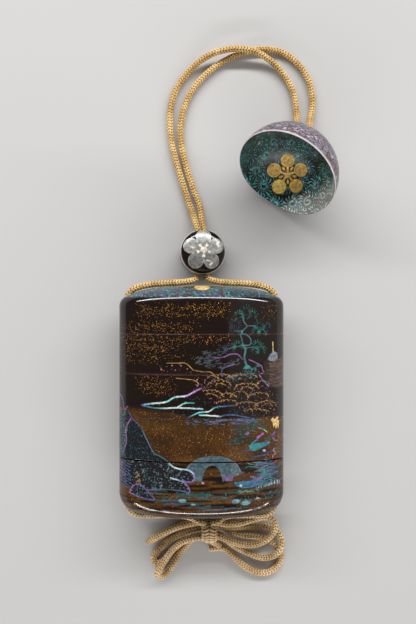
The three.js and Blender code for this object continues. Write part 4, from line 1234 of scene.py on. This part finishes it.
def paint_bead():
    """A blossom of grey shell with pale stamens, and a few leaves beside it. The upper petals are painted
    lighter: a painted sheen.
    """
    sheet = Sheet((-9, -9), (9, 9))
    silver, bright = (0.24, 0.24, 0.235), (0.44, 0.44, 0.42)
    middle = np.array([0.1, 0.45])
    for way in five_ways(90):
        petal = middle + 4.9 * way
        # The three upper petals are painted lighter: a painted sheen.
        shade = blended(silver, bright, 0.45) if petal[1] > 1 else silver
        sheet.stroke([petal, middle], 1.9, bright)
        sheet.disc(*petal, 2.88, bright)
        sheet.disc(*petal, 2.64, shade)
        sheet.stroke([petal, middle], 1.5, shade)
    for number, (x, y) in enumerate(((4.9, 2.6), (5.6, 1.2), (2.6, -3.9), (3.6, -4.3), (-0.8, 6.6),
                                     (-4.6, 1.8))):
        sheet.leaf(x, y, 0.9 + number, 1.8, 0.7, 0.9, (0.78, 0.72, 0.58))
    for way in five_ways(126):
        sheet.stroke([middle + way * 2.9, middle + way * 1.2], 0.5, BLACK_LACQUER)
        sheet.stroke([middle, middle + way * 2], 0.42, (0.85, 0.8, 0.68))
        sheet.disc(*(middle + way * 2.2), 0.55, (0.88, 0.84, 0.74))
    sheet.disc(*middle, 1.15, (0.88, 0.83, 0.7))
    return sheet


# ---- the board, the lights and the sky ----
def plain(name, colour, roughness):
    finish = bpy.data.materials.new(name)
    finish.use_nodes = True
    shader = finish.node_tree.nodes["Principled BSDF"]
    shader.inputs["Base Color"].default_value = (*colour, 1)
    shader.inputs["Roughness"].default_value = roughness
    return finish


BOARD_COLOUR = (0.465, 0.458, 0.452)
BOARD_DROP = 0.05 * MM
SKY_COLOUR = (1, 0.97, 0.93, 1)
SKY_STRENGTH = 0.19


def make_floor():
    shape = bmesh.new()
    bmesh.ops.create_grid(shape, x_segments=1, y_segments=1, size=1.5)
    board = finished("board", shape, smooth=False)
    board.location.z = -BOARD_DROP
    board.data.materials.append(plain("pale board", BOARD_COLOUR, 0.9))


def soft_box(name, place, aim, size, power):
    light = bpy.data.lights.new(name, "AREA")
    light.shape = "RECTANGLE"
    light.size, light.size_y = size
    light.energy = power
    lamp = bpy.data.objects.new(name, light)
    lamp.location = place
    lamp.rotation_euler = (Vector(aim) - Vector(place)).to_track_quat("-Z", "Y").to_euler()
    bpy.context.collection.objects.link(lamp)


def make_sky():
    """A weak, even light from all round."""
    world = bpy.data.worlds.new("studio")
    world.use_nodes = True
    sky = world.node_tree.nodes["Background"].inputs
    sky["Color"].default_value = SKY_COLOUR
    sky["Strength"].default_value = SKY_STRENGTH
    bpy.context.scene.world = world


make_floor()
make_sky()
soft_box("long key from the top", place=(0, 0.75, 0.62), aim=(0, 0.05, 0), size=(2.6, 0.1), power=22.5)
soft_box("long fill from the foot", place=(0, -0.92, 0.45), aim=(0, 0, 0), size=(2.6, 0.06), power=14)
# Four leaning panels behind one another, so that the light's upper edge fades.
for height in (1.15, 1.3, 1.45, 1.6):
    x, z = 1.25 - 0.267 * height, 0.423 * height
    aim = (x - 0.846, 0.05, z - 0.534)
    soft_box("dim panel at the right", (x, 0.05, z), aim, size=(1.5, height), power=0.9 * height)
bpy.context.scene.view_settings.view_transform = "Standard"


# ---- laying the paintings on the pieces ----
# The wall's skin is past this share of the section; on the base, below a height, past a smaller one.
SKIN_SHARE = 0.985
BASE_SKIN = (-33, 0.88)
DOME_START = 0.2
# The way from the middle of the toggle's ball to the blossom inside it.
BLOSSOM_WAY = np.array([0.106, 0.183, -0.977])
RIM_BAND = 0.4


def paint_tiers():
    """Gives the walls their picture and the lid's top its scrolls. The rest is bare lacquer."""
    walls, dome = paint_walls(), paint_dome()
    for piece in tiers:
        points = points_of(piece)
        x, y, z = points.T
        share = ((np.abs(x) / HALF_WIDTH) ** SECTION_POWER
                 + (np.abs(z - MIDDLE_Z) / HALF_DEPTH) ** SECTION_POWER) ** (1 / SECTION_POWER)
        past = np.abs(y) - SHOULDER_Y
        skin = (share > SKIN_SHARE) | ((y < BASE_SKIN[0]) & (share > BASE_SKIN[1]))
        on_wall = walls.onto(piece, distance_round(points), y, skin)
        on_dome = dome.onto(piece, x, z, past > DOME_START)
        lid_top = (past > DOME_START) & (y > 0)
        keep_painting(piece, np.where(lid_top[:, None], on_dome, on_wall))


def paint_toggle_and_bead():
    """Scrolls inside the bowl and the blossom on the bead, and where their mosaics and rims run."""
    points = points_of(bowl) - BOWL_CENTRE
    distance = np.linalg.norm(points, axis=1)
    facing = BLOSSOM_WAY / np.linalg.norm(BLOSSOM_WAY)
    right = np.cross([0, 1, 0], -facing)
    right /= np.linalg.norm(right)
    up = np.cross(-facing, right)
    ways = points / distance[:, None]
    off = np.arccos(np.clip(ways @ facing, -1, 1))
    turn = np.arctan2(ways @ up, ways @ right)
    reach = off * (BOWL_RADIUS - BOWL_WALL)
    inside = distance < BOWL_RADIUS - RIM_BAND
    keep_painting(bowl, paint_bowl_inside().onto(bowl, reach * np.cos(turn),
                                                 reach * np.sin(turn), inside))
    give_values(bowl, "outside", (distance > BOWL_RADIUS - 0.2).astype(float))
    polar = np.arccos(np.clip(ways @ -BOWL_OUT, -1, 1))
    around = np.arctan2(ways @ BOWL_ALONG, ways @ BOWL_DOWN)
    give_values(bowl, "from_pole", polar * BOWL_RADIUS)
    # The rim band here is painted pale in the mosaic: a painted highlight.
    at_edge = polar > (math.pi / 2 - rim_dip(around)) * 0.978
    give_values(bowl, "rim", (distance > BOWL_RADIUS - RIM_BAND) & at_edge)
    give_values(bowl, "round_rim", around * BOWL_RADIUS * np.sin(polar))
    local = (points_of(bead) - bead_centre) @ bead_tilt
    face = local[:, 2] > 0.5
    radius = np.hypot(local[:, 0], local[:, 1])
    keep_painting(bead, paint_bead().onto(bead, local[:, 0], local[:, 1], face & (radius < 8.35)))
    edge = (local[:, 2] > 1.6) & (radius > 8.15)
    give_values(bead, "outside", (local[:, 2] < 1.2) & (radius > 8.2) | (local[:, 2] < 0) | edge)
    give_values(bead, "rim", edge)
    turn = np.arctan2(local[:, 1], local[:, 0])
    give_values(bead, "from_pole", local[:, 2] - 0.5 * radius)
    give_values(bead, "round_rim", turn * radius)


paint_tiers()
paint_toggle_and_bead()


# ---- finishes ----
class Nodes:
    """Places shader nodes and joins them."""

    def __init__(self, tree):
        self.tree = tree

    def add(self, kind, inputs=None, **settings):
        node = self.tree.nodes.new(kind)
        for name, value in settings.items():
            setattr(node, name, value)
        for name, value in (inputs or {}).items():
            if isinstance(value, bpy.types.NodeSocket):
                self.tree.links.new(value, node.inputs[name])
            else:
                node.inputs[name].default_value = value
        return node

    def math(self, operation, first, second=0.0, third=None):
        inputs = {0: first, 1: second}
        if third is not None:
            inputs[2] = third
        return self.add("ShaderNodeMath", inputs, operation=operation).outputs[0]

    def mix(self, share, first, second):
        node = self.tree.nodes.new("ShaderNodeMix")
        node.data_type = "RGBA"
        for index, value in ((0, share), (6, first), (7, second)):
            if isinstance(value, bpy.types.NodeSocket):
                self.tree.links.new(value, node.inputs[index])
            else:
                node.inputs[index].default_value = value if index == 0 else (*value[:3], 1)
        return node.outputs[2]

    def step(self, value, low, high, from_value=0.0, to_value=1.0):
        inputs = {"Value": value, "From Min": low, "From Max": high, "To Min": from_value,
                  "To Max": to_value}
        return self.add("ShaderNodeMapRange", inputs, interpolation_type="SMOOTHSTEP").outputs["Result"]

    def attribute(self, name, output="Fac"):
        return self.add("ShaderNodeAttribute", attribute_name=name).outputs[output]

    def noise(self, scale, detail):
        texture = {"Vector": self.place(), "Scale": scale, "Detail": detail}
        return self.add("ShaderNodeTexNoise", texture).outputs["Fac"]

    def join(self, value, socket):
        self.tree.links.new(value, socket)

    def place(self):
        return self.add("ShaderNodeTexCoord").outputs["Object"]


def new_finish(name):
    finish = bpy.data.materials.new(name)
    finish.use_nodes = True
    finish.node_tree.nodes.clear()
    nodes = Nodes(finish.node_tree)
    shader = nodes.add("ShaderNodeBsdfPrincipled")
    nodes.add("ShaderNodeOutputMaterial", {"Surface": shader.outputs[0]})
    return finish, nodes, shader


def new_group(name, inputs, outputs):
    group = bpy.data.node_groups.new(name, "ShaderNodeTree")
    for title, kind, value in inputs:
        group.interface.new_socket(name=title, in_out="INPUT", socket_type=kind).default_value = value
    for title, kind in outputs:
        group.interface.new_socket(name=title, in_out="OUTPUT", socket_type=kind)
    nodes = Nodes(group)
    return group, nodes, nodes.add("NodeGroupInput").outputs, nodes.add("NodeGroupOutput").inputs


def gold_dust_group():
    """Flakes of gold, scattered as thickly as the dust value says."""
    group, nodes, given, put = new_group(
        "gold dust", [("Density", "NodeSocketFloat", 0.3), ("Flake Size", "NodeSocketFloat", 0.00029)],
        [("Flakes", "NodeSocketFloat"), ("Colour", "NodeSocketColor")])
    scale = nodes.math("DIVIDE", 1.0, given["Flake Size"])
    cells = nodes.add("ShaderNodeTexVoronoi", {"Vector": nodes.place(), "Scale": scale,
                                               "Randomness": 1.0})
    chance = nodes.add("ShaderNodeSeparateColor", {"Color": cells.outputs["Color"]}).outputs
    size = nodes.math("MULTIPLY_ADD", chance["Green"], 0.24, 0.17)
    inside = nodes.math("LESS_THAN", cells.outputs["Distance"], size)
    kept = nodes.math("LESS_THAN", chance["Red"], given["Density"])
    nodes.join(nodes.math("MULTIPLY", inside, kept), put["Flakes"])
    tone = nodes.mix(chance["Blue"], (0.22, 0.06, 0.005), (0.95, 0.45, 0.07))
    nodes.join(tone, put["Colour"])
    return group


def painted_surface_group():
    """The painted lacquer: ground, dust, shell and gold laid over each other."""
    group, nodes, given, put = new_group(
        "painted lacquer", [("Shell Brightness", "NodeSocketFloat", 1.0)],
        [("Colour", "NodeSocketColor"), ("Metal", "NodeSocketFloat"), ("Roughness", "NodeSocketFloat"),
         ("Height", "NodeSocketFloat")])
    inlay = nodes.add("ShaderNodeAttribute", attribute_name="inlay")
    ground = nodes.attribute("ground", "Color")
    gilt = nodes.attribute("gilt")
    dust = nodes.add("ShaderNodeGroup", {"Density": nodes.attribute("dust")}, node_tree=DUST)
    cover = nodes.step(inlay.outputs["Alpha"], 0.25, 0.75)
    cloud = nodes.noise(900.0, 3.0)
    shimmer = nodes.step(cloud, 0.3, 0.7, 0.62, 1.3)
    bright = nodes.math("MULTIPLY", shimmer, given["Shell Brightness"])
    shell = nodes.add("ShaderNodeVectorMath", {0: inlay.outputs["Color"], "Scale": bright},
                      operation="SCALE")
    colour = nodes.mix(dust.outputs["Flakes"], ground, dust.outputs["Colour"])
    colour = nodes.mix(cover, colour, shell.outputs["Vector"])
    nodes.join(colour, put["Colour"])
    bare_flakes = nodes.math("MULTIPLY", dust.outputs["Flakes"], nodes.math("SUBTRACT", 1.0, cover))
    gold = nodes.math("MULTIPLY", nodes.step(gilt, 0.25, 0.75), 0.1)
    shine = nodes.math("MULTIPLY", cover, 0.35)
    metal = nodes.math("ADD", nodes.math("ADD", nodes.math("MULTIPLY", bare_flakes, 0.3), shine), gold)
    nodes.join(metal, put["Metal"])
    wear = nodes.noise(140.0, 6.0)
    plain_rough = nodes.step(wear, 0.35, 0.7, 0.06, 0.16)
    inlaid = nodes.math("MAXIMUM", cover, bare_flakes)
    rough = nodes.math("MULTIPLY_ADD", inlaid, 0.22, plain_rough)
    rough = nodes.math("MULTIPLY_ADD", gold, 2.4, rough)
    nodes.join(rough, put["Roughness"])
    fine = nodes.noise(700.0, 4.0)
    height = nodes.math("MULTIPLY_ADD", inlaid, 0.35, nodes.math("MULTIPLY", fine, 0.25))
    nodes.join(height, put["Height"])
    return group


DUST = gold_dust_group()
PAINTED = painted_surface_group()


def painted_lacquer():
    """The polished lacquer of the walls, with its picture."""
    finish, nodes, shader = new_finish("painted black lacquer")
    paint = nodes.add("ShaderNodeGroup", {"Shell Brightness": 1.0}, node_tree=PAINTED).outputs
    bump = nodes.add("ShaderNodeBump", {"Height": paint["Height"], "Strength": 0.12, "Distance": 0.00004})
    for socket, value in (("Base Color", paint["Colour"]), ("Metallic", paint["Metal"]),
                          ("Roughness", paint["Roughness"]), ("Normal", bump.outputs[0])):
        nodes.join(value, shader.inputs[socket])
    shader.inputs["Coat Weight"].default_value = 0.1
    shader.inputs["Coat Roughness"].default_value = 0.08
    return finish


def mosaic_group():
    """Slips of shell laid side by side along the rim, with dark joints. The rim band itself is painted
    pale as a painted highlight.
    """
    group, nodes, given, put = new_group("shell mosaic",
                                         [("Slip Length", "NodeSocketFloat", 2.1),
                                          ("Slip Width", "NodeSocketFloat", 0.62)],
                                         [("Colour", "NodeSocketColor"), ("Slip", "NodeSocketFloat")])
    along = nodes.math("DIVIDE", nodes.attribute("round_rim"), given["Slip Length"])
    down = nodes.math("DIVIDE", nodes.attribute("from_pole"), given["Slip Width"])
    spot = nodes.add("ShaderNodeCombineXYZ", {"X": along, "Y": down})
    layout = {"Vector": spot.outputs[0], "Scale": 1.0, "Randomness": 0.9}
    cells = nodes.add("ShaderNodeTexVoronoi", layout, voronoi_dimensions="2D")
    edges = nodes.add("ShaderNodeTexVoronoi", layout, voronoi_dimensions="2D", feature="DISTANCE_TO_EDGE")
    chance = nodes.add("ShaderNodeSeparateColor", {"Color": cells.outputs["Color"]}).outputs
    slip = nodes.step(edges.outputs["Distance"], 0.07, 0.2)
    tone = nodes.mix(chance["Red"], (0.11, 0.085, 0.075), (0.36, 0.25, 0.36))
    tone = nodes.mix(nodes.step(chance["Green"], 0.72, 0.85), tone, (0.25, 0.31, 0.46))
    tone = nodes.mix(nodes.step(chance["Blue"], 0.78, 0.9), tone, (0.66, 0.58, 0.64))
    tone = nodes.mix(slip, (0.032, 0.022, 0.018), tone)
    # The rim band is painted pale: a painted highlight along the edge.
    rim = nodes.attribute("rim")
    nodes.join(nodes.mix(rim, tone, (0.62, 0.56, 0.58)), put["Colour"])
    nodes.join(slip, put["Slip"])
    return group


MOSAIC = mosaic_group()


def lacquer_and_mosaic(name, brightness, dull):
    """Painted lacquer on the face or inside, shell mosaic outside."""
    finish, nodes, shader = new_finish(name)
    paint = nodes.add("ShaderNodeGroup", {"Shell Brightness": brightness}, node_tree=PAINTED).outputs
    mosaic = nodes.add("ShaderNodeGroup", {}, node_tree=MOSAIC).outputs
    outside = nodes.attribute("outside")
    colour = nodes.mix(outside, paint["Colour"], mosaic["Colour"])
    metal = nodes.math("MULTIPLY", mosaic["Slip"], 0.35)
    metal = nodes.add("ShaderNodeMix", {0: outside, 2: paint["Metal"], 3: metal}).outputs[0]
    rough = nodes.math("MULTIPLY_ADD", mosaic["Slip"], -0.14, 0.44)
    inner_rough = nodes.math("ADD", paint["Roughness"], dull)
    rough = nodes.add("ShaderNodeMix", {0: outside, 2: inner_rough, 3: rough}).outputs[0]
    height = nodes.add("ShaderNodeMix", {0: outside, 2: paint["Height"], 3: mosaic["Slip"]}).outputs[0]
    bump = nodes.add("ShaderNodeBump", {"Height": height, "Strength": 0.3, "Distance": 0.00006})
    for socket, value in (("Base Color", colour), ("Metallic", metal), ("Roughness", rough),
                          ("Normal", bump.outputs[0])):
        nodes.join(value, shader.inputs[socket])
    shader.inputs["Coat Weight"].default_value = 0.03
    shader.inputs["Coat Roughness"].default_value = 0.25
    return finish


def silk_braid(name, crease_shade, thread, bright):
    """Silk whose plump stitches vary at random from one thread colour to a brighter one, over creases
    painted dark as painted shade.
    """
    finish, nodes, shader = new_finish(name)
    plump = nodes.attribute("plump")
    patches = nodes.noise(260.0, 2.0)
    threads = nodes.noise(5200.0, 2.0)
    tone = nodes.mix(nodes.step(patches, 0.35, 0.65), thread, bright)
    fuzz = nodes.step(threads, 0.3, 0.7, 0.72, 1.18)
    tone = nodes.add("ShaderNodeVectorMath", {0: tone, "Scale": fuzz},
                     operation="SCALE").outputs["Vector"]
    # The creases between the stitches are painted dark: painted shade.
    colour = nodes.mix(nodes.step(plump, 0.22, 0.72), crease_shade, tone)
    nodes.join(colour, shader.inputs["Base Color"])
    nodes.join(nodes.step(plump, 0.2, 0.9, 0.75, 0.42), shader.inputs["Roughness"])
    bump = nodes.add("ShaderNodeBump", {"Height": threads, "Strength": 0.4, "Distance": 0.00005})
    nodes.join(bump.outputs[0], shader.inputs["Normal"])
    shader.inputs["Sheen Weight"].default_value = 0.25
    shader.inputs["Sheen Roughness"].default_value = 0.4
    shader.inputs["Metallic"].default_value = 0.0
    return finish


bright_silk = silk_braid("golden silk braid", (0.03, 0.012, 0.002), (0.6, 0.35, 0.1), (0.85, 0.56, 0.21))
# The bow and knot take a duller, less golden silk than the cords, with paler creases.
dull_silk = silk_braid("duller tan silk braid", (0.1, 0.048, 0.015), (0.56, 0.36, 0.15), (0.82, 0.57, 0.29))
lacquer = painted_lacquer()
for number, piece in enumerate(cords + [knot]):
    piece.data.materials.append(bright_silk if number < 2 else dull_silk)
for piece in tiers:
    piece.data.materials.append(lacquer)
bead.data.materials.append(lacquer_and_mosaic("blossom lacquer", 1.0, 0))
bowl.data.materials.append(lacquer_and_mosaic("scroll lacquer and shell mosaic", 1.2, 0.26))
